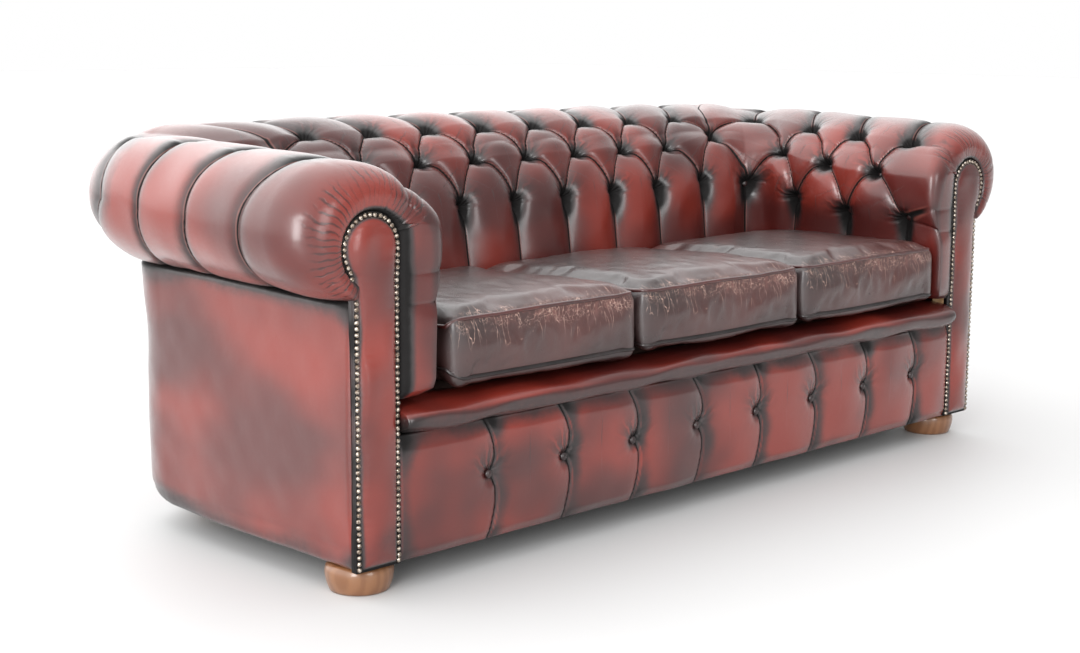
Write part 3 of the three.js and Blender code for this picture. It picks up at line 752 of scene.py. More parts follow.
def oxblood_leather(name, lines=None):
    """Antiqued red leather; `lines` says which stored values draw its pleats: tufts or border."""
    material, wires, shader, place = start_material(name)
    grain = wires.node("ShaderNodeGroup", node_tree=grain_group)
    wires.link(place, grain.inputs["Place"])
    cloud, fleck = grain.outputs["Cloud"], grain.outputs["Fleck"]
    body = wires.mix(wires.ramp(cloud, 0.36, 0.62), RED_DEEP, RED_BRIGHT)
    broad = wires.noise(place, 2.6, 2, 0.4)
    smoky = wires.plus(wires.times(broad, 0.6), wires.times(cloud, 0.4))
    smoke = wires.times(wires.ramp(smoky, 0.36, 0.56, 0.50, 0.0), wires.minus(1.0, wires.value("calm")))
    body = wires.mix(smoke, body, WAX_AND_SHADE_GREY)
    shade = wires.plus(wires.value("fold"), wires.times(wires.minus(cloud, 0.5), 0.55))
    shade = wires.plus(shade, wires.times(wires.minus(fleck, 0.5), 0.25))
    # Painted shade with dark wax: the fold value turns the colour grey, then black.
    colour = wires.mix(wires.ramp(shade, 0.10, 0.62), body, WAX_AND_SHADE_GREY)
    colour = wires.mix(wires.ramp(shade, 0.50, 0.92), colour, WAX_AND_SHADE_BLACK)
    heights = [wires.times(grain.outputs["Height"], 0.5)]
    crease_shade = 0.0
    if lines:
        ridge, spread = gather_ridge(wires)
        heights.append(wires.times(wires.times(ridge, spread), 1.8))
        # Painted shade in the wrinkles that fan out from each button.
        drawn_in = wires.times(wires.ramp(ridge, 0.15, 0.95, 1.0, 0.0), spread)
        colour = wires.mix(wires.times(drawn_in, 0.75), colour, WAX_AND_SHADE_BLACK)
    if lines == "tufts":
        round_end = wires.times(wires.value("arc"), 52.0)
        round_end = wires.plus(round_end, wires.times(wires.noise(place, 22, 3), 15.0))
        reach = wires.plus(wires.value("arc_on"), wires.times(cloud, 0.4))
        reach = wires.plus(reach, wires.times(wires.noise(place, 60, 1), 0.9))
        pinch = wires.ramp(wires.math("SINE", round_end), 0.35, 1.0)
        pinch = wires.times(pinch, wires.ramp(reach, 1.05, 1.50))
        pinch = wires.times(pinch, wires.ramp(wires.noise(place, 20, 2), 0.38, 0.60, 0.15, 1.0))
        # Painted shade in the gathers round the arm end.
        colour = wires.mix(wires.times(pinch, 0.65), colour, WAX_AND_SHADE_BLACK)
        heights.append(wires.times(pinch, -2.6))
        near = [wires.math("PINGPONG", wires.value(part), 0.5) for part in ("line_a", "line_b")]
        corner = wires.times(wires.math("ABSOLUTE", wires.value("line_c")), 0.8)
        nearest = wires.math("MINIMUM", wires.math("MINIMUM", near[0], near[1]), corner)
        nearest = wires.times(nearest, wires.value("line_scale"))
        on = wires.value("line_on")
        # Painted shade along each pleat crease.
        crease_shade = wires.times(wires.ramp(nearest, 0.009, 0.022, 1.0, 0.0), on)
        # A pale rim beside each pleat: partly rubbed wear, partly a painted highlight.
        pale_patch = wires.times(wires.ramp(nearest, 0.020, 0.034, 1.0, 0.0), on)
        pale_patch = wires.times(pale_patch, wires.ramp(wires.value("pit"), 0.1, 0.4, 1.0, 0.0))
        colour = wires.mix(wires.times(pale_patch, 0.35), colour, RUBBED_AND_HIGHLIGHT_RED)
        colour = wires.mix(crease_shade, colour, CREASE_SHADE_BLACK)
        heights.append(wires.times(crease_shade, -1.6))
    if lines == "border":
        gap = wires.math("ABSOLUTE", wires.value("seam"))
        # Painted shade in each border pleat.
        crease_shade = wires.ramp(gap, 0.0008, 0.0024, 1.0, 0.0)
        colour = wires.mix(crease_shade, colour, CREASE_SHADE_BLACK)
        heights.append(wires.times(crease_shade, -1.6))
    wires.link(colour, shader.inputs["Base Color"])
    rough = wires.plus(wires.times(fleck, 0.20), wires.ramp(shade, 0.2, 1.2, 0.22, 0.60))
    wires.link(wires.plus(rough, wires.times(crease_shade, 0.3)), shader.inputs["Roughness"])
    total = heights[0]
    for extra in heights[1:]:
        total = wires.plus(total, extra)
    wires.bump(total, 0.5, 0.0009, shader)
    shader.inputs["Specular IOR Level"].default_value = 0.25
    polish = wires.ramp(shade, 0.62, 1.05, 1.0, 0.0)
    polish = wires.times(polish, wires.minus(1.0, crease_shade))
    wires.link(polish, shader.inputs["Coat Weight"])
    shader.inputs["Coat Roughness"].default_value = 0.24
    return material


def gather_ridge(wires):
    """Wrinkles that fan out from the nearest button, and how strongly they show at each place."""
    side, up = wires.value("near_side"), wires.value("near_up")
    angle = wires.math("ARCTAN2", side, up)
    far = wires.math("SQRT", wires.plus(wires.times(side, side), wires.times(up, up)))
    wobble = wires.noise(wires.node("ShaderNodeTexCoord").outputs["Object"], 38, 2)
    turned_by = wires.plus(wires.times(angle, 13.0), wires.times(wobble, 10.0))
    ring = wires.times(wires.ramp(far, 0.004, 0.010), wires.ramp(far, 0.018, 0.075, 1.0, 0.0))
    above = wires.ramp(wires.math("DIVIDE", up, wires.math("MAXIMUM", far, 0.001)), 0.0, 0.75, 0.10, 1.0)
    return wires.math("SINE", turned_by), wires.times(ring, above)


COVER_LEATHER = oxblood_leather("oxblood_leather_cover", "tufts")
BORDER_LEATHER = oxblood_leather("oxblood_leather_border", "border")
PLAIN_LEATHER = oxblood_leather("oxblood_leather_plain")
print("materials", COVER_LEATHER.name, PLAIN_LEATHER.name)

# %% [markdown]
# ## Splitting the grid into three covers
# Left arm, back and right arm are separate stuffed covers on the frame. They part in the corner, down
# the middle of the corner flute, where two real covers are sewn edge to edge.

# %% Stored values of the cover
# FOLD adds up what is darkened, partly as dark wax and partly as painted shade: pleats, pits,
# seams over the roll, the edges and the gathers.
crease_dark = np.clip((1 - puff) - 0.45, 0, 1) * (1 - ROLL) * mix(0.35, 0.75, smooth(PIT, 0.0, 0.3))
WIDE_PIT = np.exp(-(pit_far / 0.023) ** 2)
FOLD = crease_dark + 1.15 * WIDE_PIT + 0.40 * np.exp(-(seam_far / 0.014) ** 1.2) * ROLL * front_fade
FOLD += 0.35 * corner_fold - 0.05
FOLD += 0.50 * np.exp(-((ABOVE - 0.028) / 0.035) ** 2) * np.exp(-(seam_far / 0.045) ** 2) * front_fade
FOLD += 0.45 * smooth(U, 1.90, 2.0) + 0.26 * np.exp(-(seam_far / 0.030) ** 2) * ROLL * front_fade
FOLD += 1.25 * smooth(TUCK, 0.45, 0.92) * mix(1.0, 0.55, smooth(U, 1.1, 1.5))
FOLD += 0.9 * GATHER_DARK
FOLD += 0.50 * np.exp(-(front_far / 0.020) ** 2) * smooth(TUCK, 0.35, 0.0) * smooth(U, 1.10, 0.95)
LINE_ON = np.where(TUCK > 0, 0, smooth(front_far, 0.012, 0.045))
on_corner = (RISE > 0.5) & (U < 1.45) & (np.abs(COUNT_AT - CORNER_COUNT) < 0.3)
LINE_C = np.where(on_corner, COUNT_AT - CORNER_COUNT + 0.3 * smooth(U, 1.20, 1.45), 0.5)
step = np.linalg.norm(np.gradient(CREST, axis=0), axis=-1)
turns = np.abs(np.gradient(COUNT_AT, axis=0))
LINE_SCALE = np.clip(step / np.maximum(turns, 1e-6) / BUTTON_PITCH, 0.8, 3.0)
LINE_SCALE = np.where(U > 1.1, LINE_SCALE, 1.0)
VALUES = {
    "line_c": LINE_C, "line_scale": LINE_SCALE, "line_a": PHASE_A, "line_b": PHASE_B,
    "line_on": LINE_ON, "fold": FOLD, "pit": PIT,
    "near_side": BUTTON_SIDE, "near_up": BUTTON_UP, "arc": arc_angle, "arc_on": gather_fade,
    "calm": 0.6 * ROLL,
}

# %% Build the covers
WALL_POINTS = 4
WALL_TOP, WALL_FOOT, WALL_BACK = 0.600, 0.322, -0.020


def frame_wall(columns):
    """Four points per column that close the padding round the space for the wooden frame."""
    run = RUN[columns, 0]
    turn = smooth(run, 1, 2)
    inner = -mix(0.095, 0.120, turn)
    back = np.full(run.shape, WALL_BACK)
    top = np.full(run.shape, WALL_TOP)
    foot = np.full(run.shape, WALL_FOOT)
    corners = [(back, CREST[columns, -1, 2]), (back, top), (inner, top), (inner, foot)]
    return np.stack([np.stack([*plan_point(out, run), up], -1) for out, up in corners], 1)


COVER_NORMAL = grid_normals(COVER)


def cover_piece(name, points, values, side, normals):
    """A closed padding shape from columns of points; `side` is -1 to mirror it.

    The shading normals come from the whole grid, so the light runs on from one cover to the next.
    """
    columns, rows = points.shape[:2]
    flat = points.reshape(-1, 3).copy()
    faces = grid_faces(columns, rows, wrap=True)
    flat[:, 0] *= side
    all_faces = faces.tolist() + end_caps(columns, rows)
    if side < 0:
        all_faces = [face[::-1] for face in all_faces]
    piece = make_mesh(name, flat, all_faces, values)
    shading = np.array([vertex.normal for vertex in piece.data.vertices]).reshape(points.shape)
    shading[:, :normals.shape[1]] = normals * (side, 1, 1)
    carried = piece.data.attributes.new("shading", "FLOAT_VECTOR", "POINT")
    carried.data.foreach_set("vector", shading.ravel())
    merge_coincident(piece)
    carried = piece.data.attributes["shading"]
    kept = np.empty(len(piece.data.vertices) * 3)
    carried.data.foreach_get("vector", kept)
    piece.data.attributes.remove(carried)
    piece.data.normals_split_custom_set_from_vertices(kept.reshape(-1, 3).tolist())
    return piece


def cover_part(columns):
    """Points, values and normals of some columns; the wall's points repeat the last row's values."""
    points = np.concatenate([COVER[columns], frame_wall(columns)], 1)
    values = {key: np.pad(value[columns], ((0, 0), (0, WALL_POINTS)), mode="edge")
              for key, value in VALUES.items()}
    return points, values, COVER_NORMAL[columns]


corner_column = int(np.argmin(np.abs(column_run - 1.5)))
points, values, normals = cover_part(slice(0, corner_column + 1))
for place, side in SIDES:
    piece = cover_piece("arm_cover_" + place, points, values, side, normals)
    finish_piece(piece, COVER_LEATHER, ["arm_pad_" + place])

points, values, normals = cover_part(slice(corner_column, None))
back_values = {key: with_mirror(value) for key, value in values.items()}
# On the mirrored half the two families of pleats change places, and the count runs backwards.
for key, other in (("line_a", "line_b"), ("line_b", "line_a")):
    back_values[key] = np.concatenate([values[key], FULL_COUNT - values[other][::-1][1:]])
piece = cover_piece("back_cover", with_mirror(points, MIRROR), back_values, 1, with_mirror(normals, MIRROR))
finish_piece(piece, COVER_LEATHER, ["back_pad"])

# %% [markdown]
# ## Tufting buttons
# Each button is a small covered dome that a cord pulls into the padding, so only its cap shows at the
# bottom of a pit. They are turned shapes of one profile, set along the leather's own normal.

# %% Tufting buttons
def turned(profile, sides):
    """Points and faces of a closed turned shape; profile is (radius, height) from base to top."""
    angle = np.linspace(0, 2 * math.pi, sides, endpoint=False)
    rings = [[(r * math.cos(a), r * math.sin(a), h) for a in angle] for r, h in profile]
    points = np.array([p for ring in rings for p in ring])
    faces = grid_faces(len(profile), sides, wrap=True).tolist()
    return points, faces + end_caps(len(profile), sides)


def scatter(shape, places, normals, scales=None):
    """Copies of one shape at the places, each standing along its normal."""
    points, faces = shape
    all_points, all_faces = [], []
    for k, (place, normal) in enumerate(zip(places, normals)):
        turn = Vector(normal).to_track_quat("Z", "Y").to_matrix()
        size = 1.0 if scales is None else scales[k]
        moved = points * size @ np.array(turn).T + np.asarray(place)
        start = len(all_points) * len(points)
        all_points.append(moved)
        all_faces += [[start + i for i in face] for face in faces]
    return np.concatenate(all_points), all_faces


BUTTON_PROFILE = [(0.0085, -0.004), (0.0092, -0.001), (0.0086, 0.0016), (0.0066, 0.0036),
                  (0.0036, 0.0048), (0.0010, 0.0052)]
BUTTON_SHAPE = turned(BUTTON_PROFILE, 14)
BUTTON_PROUD = 0.0015


def button_places(first, last, side):
    places, normals = [], []
    for spot_count, _, column, row in BUTTONS:
        if first <= spot_count < last:
            normal = CREST_NORMAL[column, row]
            places.append((COVER[column, row] + normal * BUTTON_PROUD) * (side, 1, 1))
            normals.append(normal * (side, 1, 1))
    return places, normals


def add_buttons(name, places, normals, fold, scales=None, nodes=()):
    points, faces = scatter(BUTTON_SHAPE, places, normals, scales)
    piece = make_mesh(name, points, faces, {"fold": np.full(len(points), fold)})
    finish_piece(piece, PLAIN_LEATHER, nodes)


# The buttons' fold of 0.62 is painted shade of the pits they sit in.
ARM_BUTTONS_END, MIDDLE_BUTTON = 3.4, 7.4
for place, side in SIDES:
    add_buttons("arm_buttons_" + place, *button_places(0, ARM_BUTTONS_END, side), 0.62)
places, normals = button_places(ARM_BUTTONS_END, 9, 1)
other_places, other_normals = button_places(ARM_BUTTONS_END, MIDDLE_BUTTON, -1)
add_buttons("back_buttons", places + other_places, normals + other_normals, 0.62)

# %% [markdown]
# ## Outside panels
# The outside arms and back are single hides stretched over thin wadding and tacked at the edges. They
# are nearly flat, a little full in the middle and drawn in at each edge, with painted shade there: under
# the roll, at the foot and at the front edge.

# %% Closed panels
def closed_shell(name, front, back, values):
    """A closed piece from two grids of the same size."""
    rows, columns = front.shape[:2]
    count = rows * columns
    points = np.concatenate([front.reshape(-1, 3), back.reshape(-1, 3)])
    faces = grid_faces(rows, columns)
    index = np.arange(count).reshape(rows, columns)
    rim = np.concatenate([index[0, :], index[1:, -1], index[-1, -2::-1], index[-2:0:-1, 0]])
    nxt = np.roll(rim, -1)
    sides = np.stack([rim, rim + count, nxt + count, nxt], -1)
    all_faces = np.concatenate([faces, faces[:, ::-1] + count, sides])
    both = {key: np.tile(np.asarray(value, dtype=float).ravel(), 2) for key, value in values.items()}
    return make_mesh(name, points, face_outward(points, all_faces), both)


def face_outward(points, faces):
    """The faces, turned round if they enclose a negative volume."""
    p = points[faces]
    volume = np.einsum("ij,ij->i", p[:, 0], np.cross(p[:, 1], p[:, 2])).sum()
    volume += np.einsum("ij,ij->i", p[:, 0], np.cross(p[:, 2], p[:, 3])).sum()
    return faces if volume > 0 else faces[:, ::-1]


PANEL_FOOT = BASE_BOTTOM + 0.0015
NO_EDGE = 9.0


def outside_panel(runs, side):
    """Front and back grid and stored values of a stretched hide along the plan line."""
    run, share = np.meshgrid(runs, np.linspace(0, 1, 90), indexing="ij")
    join_u = np.full(len(runs), 2.0)
    join_up = padding(runs, nose_weight(runs * ARM_STRAIGHT, join_u), join_u)[1]
    top = (join_up + 0.0005)[:, None]
    up = PANEL_FOOT + (top - PANEL_FOOT) * share
    length = np.interp(run, [0, 1, 2, 3], [0, 0.545, 0.78, 1.53])
    from_top, from_foot = top - up, up - PANEL_FOOT
    starts_at_front = runs[0] < 0.1
    from_front = np.where((run < 1.5) & starts_at_front, length - length[0, 0], NO_EDGE)
    rounding = mix(0.018, 0.045, smooth(np.abs(run - 1.35), 0.6, 0.2))
    edge = smooth(from_top, 0.0, 0.006) * smooth(from_front, 0, 0.014)
    low_part = np.clip(from_foot / rounding, 0, 1)
    soft = 0.0012 * waves(length, up, 23, 0.30) + 0.0003 * waves(length, up, 24, 0.07)
    full = 0.003 * np.sin(math.pi * share)
    out = -0.006 + 0.006 * edge + (soft + full) * edge
    out = out - rounding * 0.5 * (1 - np.sqrt(1 - (1 - low_part) ** 2))
    crease = np.exp(-((from_foot - 0.032 - 0.004 * np.sin(length * 9)) / 0.006) ** 2)
    out = out - 0.0012 * crease
    out = out + 0.010 * smooth(from_top, 0.16, 0.0) * smooth(np.abs(run - 1.3), 0.5, 0.0)
    x, y = plan_point(out, run)
    x_in, y_in = plan_point(np.where(low_part < 1, -0.036, -0.011), run)
    front = np.stack([x * side, y, up], -1)
    back = np.stack([x_in * side, y_in, up], -1)
    # Painted shade under the roll, at the foot and at the front edge; darker round the arm's rear corner,
    # and uneven at random.
    dark = smooth(from_top, 0.060, 0.0) * 0.60 + smooth(from_top, 0.016, 0.0) * 0.45
    dark += smooth(from_foot, 0.060, 0.010) * 0.45
    dark += smooth(from_front, 0.050, 0.0) * 0.40 + 0.45 * smooth(np.abs(run - 1.15), 0.45, 0.0)
    dark += 0.14 * waves(length, up, 25, 0.24) - 0.14
    return front, back, {"fold": dark, "calm": np.full(dark.shape, 0.55)}


arm_runs = np.concatenate([np.linspace(0.0, 0.08, 16)[:-1], np.linspace(0.08, 1, 80)[:-1],
                           np.linspace(1, 1.5, 34)])
for place, side in SIDES:
    piece = closed_shell("outside_arm_cover_" + place, *outside_panel(arm_runs, side))
    finish_piece(piece, PLAIN_LEATHER, ["outside_arm_" + place])
back_runs = np.concatenate([np.linspace(1.5, 2, 34)[:-1], np.linspace(2, 3, 110)])
front, back, values = outside_panel(back_runs, 1)
values = {key: with_mirror(value) for key, value in values.items()}
piece = closed_shell("outside_back_cover", with_mirror(front, MIRROR), with_mirror(back, MIRROR), values)
finish_piece(piece, PLAIN_LEATHER, ["outside_back"])

# %% [markdown]
# ## Arm facings and their nails
# A narrow stuffed panel closes each arm front. Its edge hides under a close row of domed nails that
# climbs both sides and follows the round top. The panel is a grid of level chords, so its leg and its
# round top are one surface, and its fullness follows from the distance to the nail line.

# %% Facing outline
def facing_bounds(up):
    """Inner and outer limit of the facing at each height."""
    inner = np.interp(up, [0, 0.522, 0.572], [-FACING_WIDTH, -FACING_WIDTH, ARC_OUT - ARC_R])
    outer = np.interp(up, [0, 0.487, 0.530], [-0.0005, -0.0005, 0.0057])
    half = np.sqrt(np.clip(ARC_R ** 2 - (up - ARC_UP) ** 2, 0, None))
    inner = np.where(up > ARC_UP, ARC_OUT - half, inner)
    outer = np.where(up > 0.530, ARC_OUT + half, outer)
    return inner, outer


def nail_line(pitch, inset):
    """[out, up] of each nail, up the outer side, round the top and down the inner side."""
    radius = ARC_R - inset
    angle = np.linspace(math.radians(-38), math.pi, 80)
    arc = np.stack([ARC_OUT + radius * np.cos(angle), ARC_UP + radius * np.sin(angle)], -1)
    foot = PANEL_FOOT + 0.006
    outline = np.concatenate([[[-inset, foot], [-inset, ARC_UP - 0.080]], arc,
                              [[-FACING_WIDTH + inset, ARC_UP - 0.052], [-FACING_WIDTH + inset, foot]]])
    step = np.linalg.norm(np.diff(outline, axis=0), axis=1)
    far = np.concatenate([[0], np.cumsum(step)])
    spots = np.linspace(0, far[-1], int(far[-1] / pitch) + 1)
    return np.stack([np.interp(spots, far, outline[:, k]) for k in (0, 1)], -1)


NAIL_BAND = 0.0085
FACING_UP = np.concatenate([
    np.linspace(PANEL_FOOT, ARC_UP, 150)[:-1],
    ARC_UP + ARC_R * np.sin(np.linspace(0, math.pi / 2 - 0.03, 34)),
])


def facing(side):
    """Front and back grid and stored values of one arm facing."""
    across = np.sin(np.linspace(-math.pi / 2, math.pi / 2, 33))
    up, w = np.meshgrid(FACING_UP, across, indexing="ij")
    inner, outer = facing_bounds(up)
    out = (inner + outer) / 2 + (outer - inner) / 2 * w
    to_side = np.minimum(out - inner, outer - out)
    radial = ARC_R - np.hypot(out - ARC_OUT, up - ARC_UP)
    rim = np.where(up > ARC_UP, np.clip(radial, 0, None), to_side)
    rim = np.minimum(rim, np.maximum(up - PANEL_FOOT, 0) * 1.6)
    past_nails = np.clip((rim - NAIL_BAND) / 0.036, 0, 1)
    fullness = np.sqrt(1 - (1 - past_nails) ** 2)
    lump = 0.0012 * waves(up, out * 2, 31 + side, 0.12)
    wrinkle = np.exp(-(rim - 0.006) / 0.010) * 0.0009 * np.sin(up * 420 + 3 * np.sin(up * 60))
    uneven = (lump + np.clip(wrinkle, -1, 1)) * smooth(rim, NAIL_BAND, 0.020)
    y = FRONT - 0.0035 - 0.0105 * fullness - uneven
    front = np.stack([(BASE_HALF + out) * side, y, up], -1)
    back = np.stack([(BASE_HALF + out) * side, np.full(y.shape, FRONT + 0.010), up], -1)
    # Painted shade beside the nails; darker towards the bottom and at the top, and uneven at random.
    low_dark = 0.35 * smooth(up, 0.20, 0.05)
    dark = smooth(rim, 0.017, 0.005) * 0.95 + low_dark + 0.22 * smooth(up, 0.585, 0.62) - 0.12
    dark += 0.12 * waves(up, out, 33 + side, 0.10)
    return front, back, {"fold": dark}


for place, side in SIDES:
    piece = closed_shell("arm_facing_cover_" + place, *facing(side))
    finish_piece(piece, PLAIN_LEATHER, ["arm_facing_" + place])

# %% Nails
NAIL_SHAPE = turned([(0.0028, -0.0015), (0.0043, -0.0003), (0.0044, 0.0006), (0.0040, 0.0022),
                     (0.0028, 0.0036), (0.0010, 0.0042)], 12)


def metal_material(name, colour, rough, dirt):
    material, wires, shader, place = start_material(name)
    patch = wires.noise(place, 240, 3, 0.6)
    wires.link(wires.mix(wires.ramp(patch, 0.42, 0.62), dirt, colour), shader.inputs["Base Color"])
    wires.link(wires.ramp(patch, 0.3, 0.7, rough + 0.2, rough), shader.inputs["Roughness"])
    shader.inputs["Metallic"].default_value = 0.95
    return material


NAIL_METAL = metal_material("antique_nail", (0.58, 0.51, 0.44, 1), 0.22, (0.16, 0.12, 0.09, 1))
STEEL = metal_material("spring_steel", (0.35, 0.35, 0.36, 1), 0.40, (0.16, 0.13, 0.11, 1))
NAIL_PITCH, NAIL_INSET, NAIL_PROUD = 0.0100, 0.0050, 0.0040
NAIL_WOBBLE, NAIL_LEAN = 0.00035, 0.05
for place, side in SIDES:
    rng = np.random.default_rng(40 + side)
    line = nail_line(NAIL_PITCH, NAIL_INSET)
    spots = line + rng.normal(0, NAIL_WOBBLE, line.shape)
    nail_places = [((BASE_HALF + out) * side, FRONT - NAIL_PROUD, up) for out, up in spots]
    lean = rng.normal(0, NAIL_LEAN, (len(nail_places), 2))
    points, faces = scatter(NAIL_SHAPE, nail_places, [(a, -1, b) for a, b in lean])
    piece = make_mesh("nail_row_" + place, points, faces)
    finish_piece(piece, NAIL_METAL, ["nail_trim_" + place])

# %% [markdown]
# ## Seat lip
# A stuffed roll runs along the front under the cushions. One profile is carried along its length and
# made uneven, and its ends are drawn in where it disappears between the arms.

# %% Lip
LIP_LOW, LIP_HIGH = low("seat_lip"), high("seat_lip")
LIP_PROFILE = np.array([
    (0.0920, 0.010), (0.0920, 0.048), (0.0500, 0.0495), (0.0260, 0.0455), (0.0120, 0.0410),
    (0.0040, 0.0350), (0.0008, 0.0280), (0.0012, 0.0210), (0.0060, 0.0120), (0.0150, 0.0050),
    (0.0300, 0.0015), (0.0600, 0.0010)])


def rounded_loop(corners, count):
    """A smooth closed curve through the corners, sampled evenly."""
    closed = np.concatenate([corners[-1:], corners, corners[:2]])
    samples = []
    for k in range(len(corners)):
        for w in np.linspace(0, 1, count, endpoint=False):
            samples.append(through(*closed[k:k + 4], w))
    return np.array(samples)


LIP_END = 0.03
lip_curve = rounded_loop(LIP_PROFILE, 4)
along = np.concatenate([LIP_LOW[0] + LIP_END * (1 - np.cos(np.linspace(0, math.pi / 2, 10)))[:-1],
                        np.linspace(LIP_LOW[0] + LIP_END, LIP_HIGH[0] - LIP_END, 330),
                        LIP_HIGH[0] - LIP_END * (1 - np.cos(np.linspace(math.pi / 2, 0, 10)))[1:]])
X, K = np.meshgrid(along, np.arange(len(lip_curve)), indexing="ij")
forward, height = lip_curve[K, 0], lip_curve[K, 1]
end_far = np.minimum(X - LIP_LOW[0], LIP_HIGH[0] - X)
pinch = np.sqrt(np.clip(1 - (1 - np.clip(end_far / LIP_END, 0, 1)) ** 2, 0, 1))
stuffed = mix(0.80, 1.0, pinch)
centre = lip_curve.mean(0)
y = LIP_LOW[1] + centre[0] + (forward - centre[0]) * stuffed + 0.0016 * waves(X, K * 0.01, 51, 0.22)
z = LIP_LOW[2] - 0.002 + centre[1] + (height - centre[1]) * stuffed + 0.0018 * waves(X, K * 0.01, 52, 0.17)
points = np.stack([X, y, z], -1)
faces = grid_faces(*X.shape, wrap=True).tolist() + end_caps(*X.shape)
# Painted shade on the lower face under the lip and at the ends drawn in between the arms.
under = smooth(height, 0.038, 0.026) + 0.5 * smooth(end_far, 0.05, 0.0)
piece = make_mesh("seat_lip_cover", points.reshape(-1, 3), [face[::-1] for face in faces],
                  {"fold": under * 0.52})
finish_piece(piece, PLAIN_LEATHER, ["seat_lip"])

# %% [markdown]
# ## Front border
# Nine stuffed panels with a pleat between each two. A button nips every pleat, so its line bows out
# above and below the button. The left panel lies over the right one, which gives each pleat a steep
# side and a gentle side.

# %% Border
BORDER_LOW, BORDER_HIGH = low("front_border"), high("front_border")
BORDER_BUTTONS = [(low(f"border_button_{k}") + high(f"border_button_{k}")) / 2 for k in range(1, 9)]
BUTTON_X = np.array([p[0] for p in BORDER_BUTTONS])
BUTTON_Z = float(BORDER_BUTTONS[0][2])
x_grid = np.linspace(BORDER_LOW[0], BORDER_HIGH[0], 500)
z_grid = np.linspace(BORDER_LOW[2] - 0.001, BORDER_HIGH[2], 78)
X, Z = np.meshgrid(x_grid, z_grid, indexing="ij")
above = np.clip((Z - BUTTON_Z) / (BORDER_HIGH[2] - BUTTON_Z), 0, 1)
below = np.clip((BUTTON_Z - Z) / (BUTTON_Z - BORDER_LOW[2]), 0, 1)
rng = np.random.default_rng(61)
lines = []
for bx in BUTTON_X:
    a, b = rng.uniform(0.8, 1.25, 2)
    bow = 0.004 + 0.012 * a * np.sin(math.pi * above ** 0.8) - 0.016 * a * above ** 2
    bow += 0.011 * b * np.sin(math.pi * below ** 0.75) - 0.006 * b * below ** 2
    lines.append(bx + bow)
first_edge = np.full(X.shape, BORDER_LOW[0] - 0.004)
last_edge = np.full(X.shape, BORDER_HIGH[0] + 0.004)
edges = np.stack([first_edge, *lines, last_edge])
panel = (X[None] >= edges[1:-1]).sum(0)
left_edge = np.take_along_axis(edges, panel[None], 0)[0]
right_edge = np.take_along_axis(edges, panel[None] + 1, 0)[0]
part = np.clip((X - left_edge) / (right_edge - left_edge), 0, 1)
full = np.sin(math.pi * np.clip(part, 1e-6, 1 - 1e-6) ** 1.12) ** 0.36
level = smooth(Z, BORDER_HIGH[2], BORDER_HIGH[2] - 0.030) * 0.75 + 0.25
level *= smooth(Z, BORDER_LOW[2] - 0.004, BORDER_LOW[2] + 0.018)
gap = np.abs(X[None] - BUTTON_X[:, None, None])
button_far = np.sqrt((gap.min(0)) ** 2 + (Z - BUTTON_Z) ** 2)
nip = np.exp(-(button_far / 0.017) ** 2)
y = BORDER_LOW[1] + 0.0055 - 0.0125 * full * level + 0.0075 * nip
y -= 0.0014 * waves(X, Z, 62, 0.12) * full
front = np.stack([X, y, Z], -1)
back = np.stack([X, np.full(X.shape, BORDER_HIGH[1]), Z], -1)
from_left, to_right = X - left_edge, right_edge - X
# Painted shade beside each pleat, round the buttons and under the lip, with a painted highlight on the
# ridge just right of each pleat; darker towards the bottom, and uneven at random.
dark = 0.55 * smooth(from_left, 0.050, 0.004) - 0.35 * smooth(np.abs(from_left - 0.006), 0.003, 0.0)
dark += 0.35 * smooth(to_right, 0.008, 0.0) + 0.60 * np.exp(-(button_far / 0.020) ** 2)
dark += 0.55 * smooth(Z, BORDER_HIGH[2] - 0.045, BORDER_HIGH[2]) + 0.22 * smooth(Z, 0.085, 0.055)
dark += 0.12 * waves(X, Z, 63, 0.11) - 0.05
closest = gap.argmin(0)
signed = np.where(from_left < to_right, from_left, -to_right)
border_values = {"fold": dark, "seam": signed, "near_side": X - BUTTON_X[closest], "near_up": Z - BUTTON_Z}
piece = closed_shell("front_border_cover", front, back, border_values)
finish_piece(piece, BORDER_LEATHER, ["front_border"])
# The border buttons' fold of 0.66 is painted shade of the nips they sit in.
spots = [(bx, BORDER_LOW[1] + 0.0025, BUTTON_Z) for bx in BUTTON_X]
add_buttons("border_buttons", spots, [(0, -1, 0.04)] * 8, 0.66, [0.86] * 8,
            [f"border_button_{k}" for k in range(1, 9)])
print("border panels", int(panel.max()) + 1)

# %% [markdown]
# ## Cushions
# Three loose box cushions: two hides with a border between them, a cord sewn into both seams, and a
# foam and feather filling. Each starts as a slightly small crowned box, and a cloth simulation with
# inner pressure swells it until the leather is full but still slack at the corners.

# %% Cushion start shape
def rounded_box(size, radius, steps):
    """Points and quads of a box with rounded edges, about its centre."""
    half = np.array(size) / 2
    inner = half - radius
    line = [np.linspace(-1, 1, n) for n in steps]
    points, faces = [], []
    for axis in range(3):
        for sign in (-1, 1):
            u_axis, v_axis = (axis + 1) % 3, (axis + 2) % 3
            u, v = np.meshgrid(line[u_axis], line[v_axis], indexing="ij")
            spot = np.zeros(u.shape + (3,))
            spot[..., axis], spot[..., u_axis], spot[..., v_axis] = sign, u, v
            spot *= half
            core = np.clip(spot, -inner, inner)
            away = spot - core
            reach = np.linalg.norm(away, axis=-1, keepdims=True)
            spot = core + away / np.maximum(reach, 1e-9) * np.minimum(reach, radius)
            start = sum(len(p) for p in points)
            points.append(spot.reshape(-1, 3))
            quads = grid_faces(*u.shape) + start
            faces.append(quads if sign > 0 else quads[:, ::-1])
    return np.concatenate(points), np.concatenate(faces)


CUSHION_SLOPE = math.radians(1.3)
CUSHION_SIZE = np.array([0.484, 0.470, 0.122])


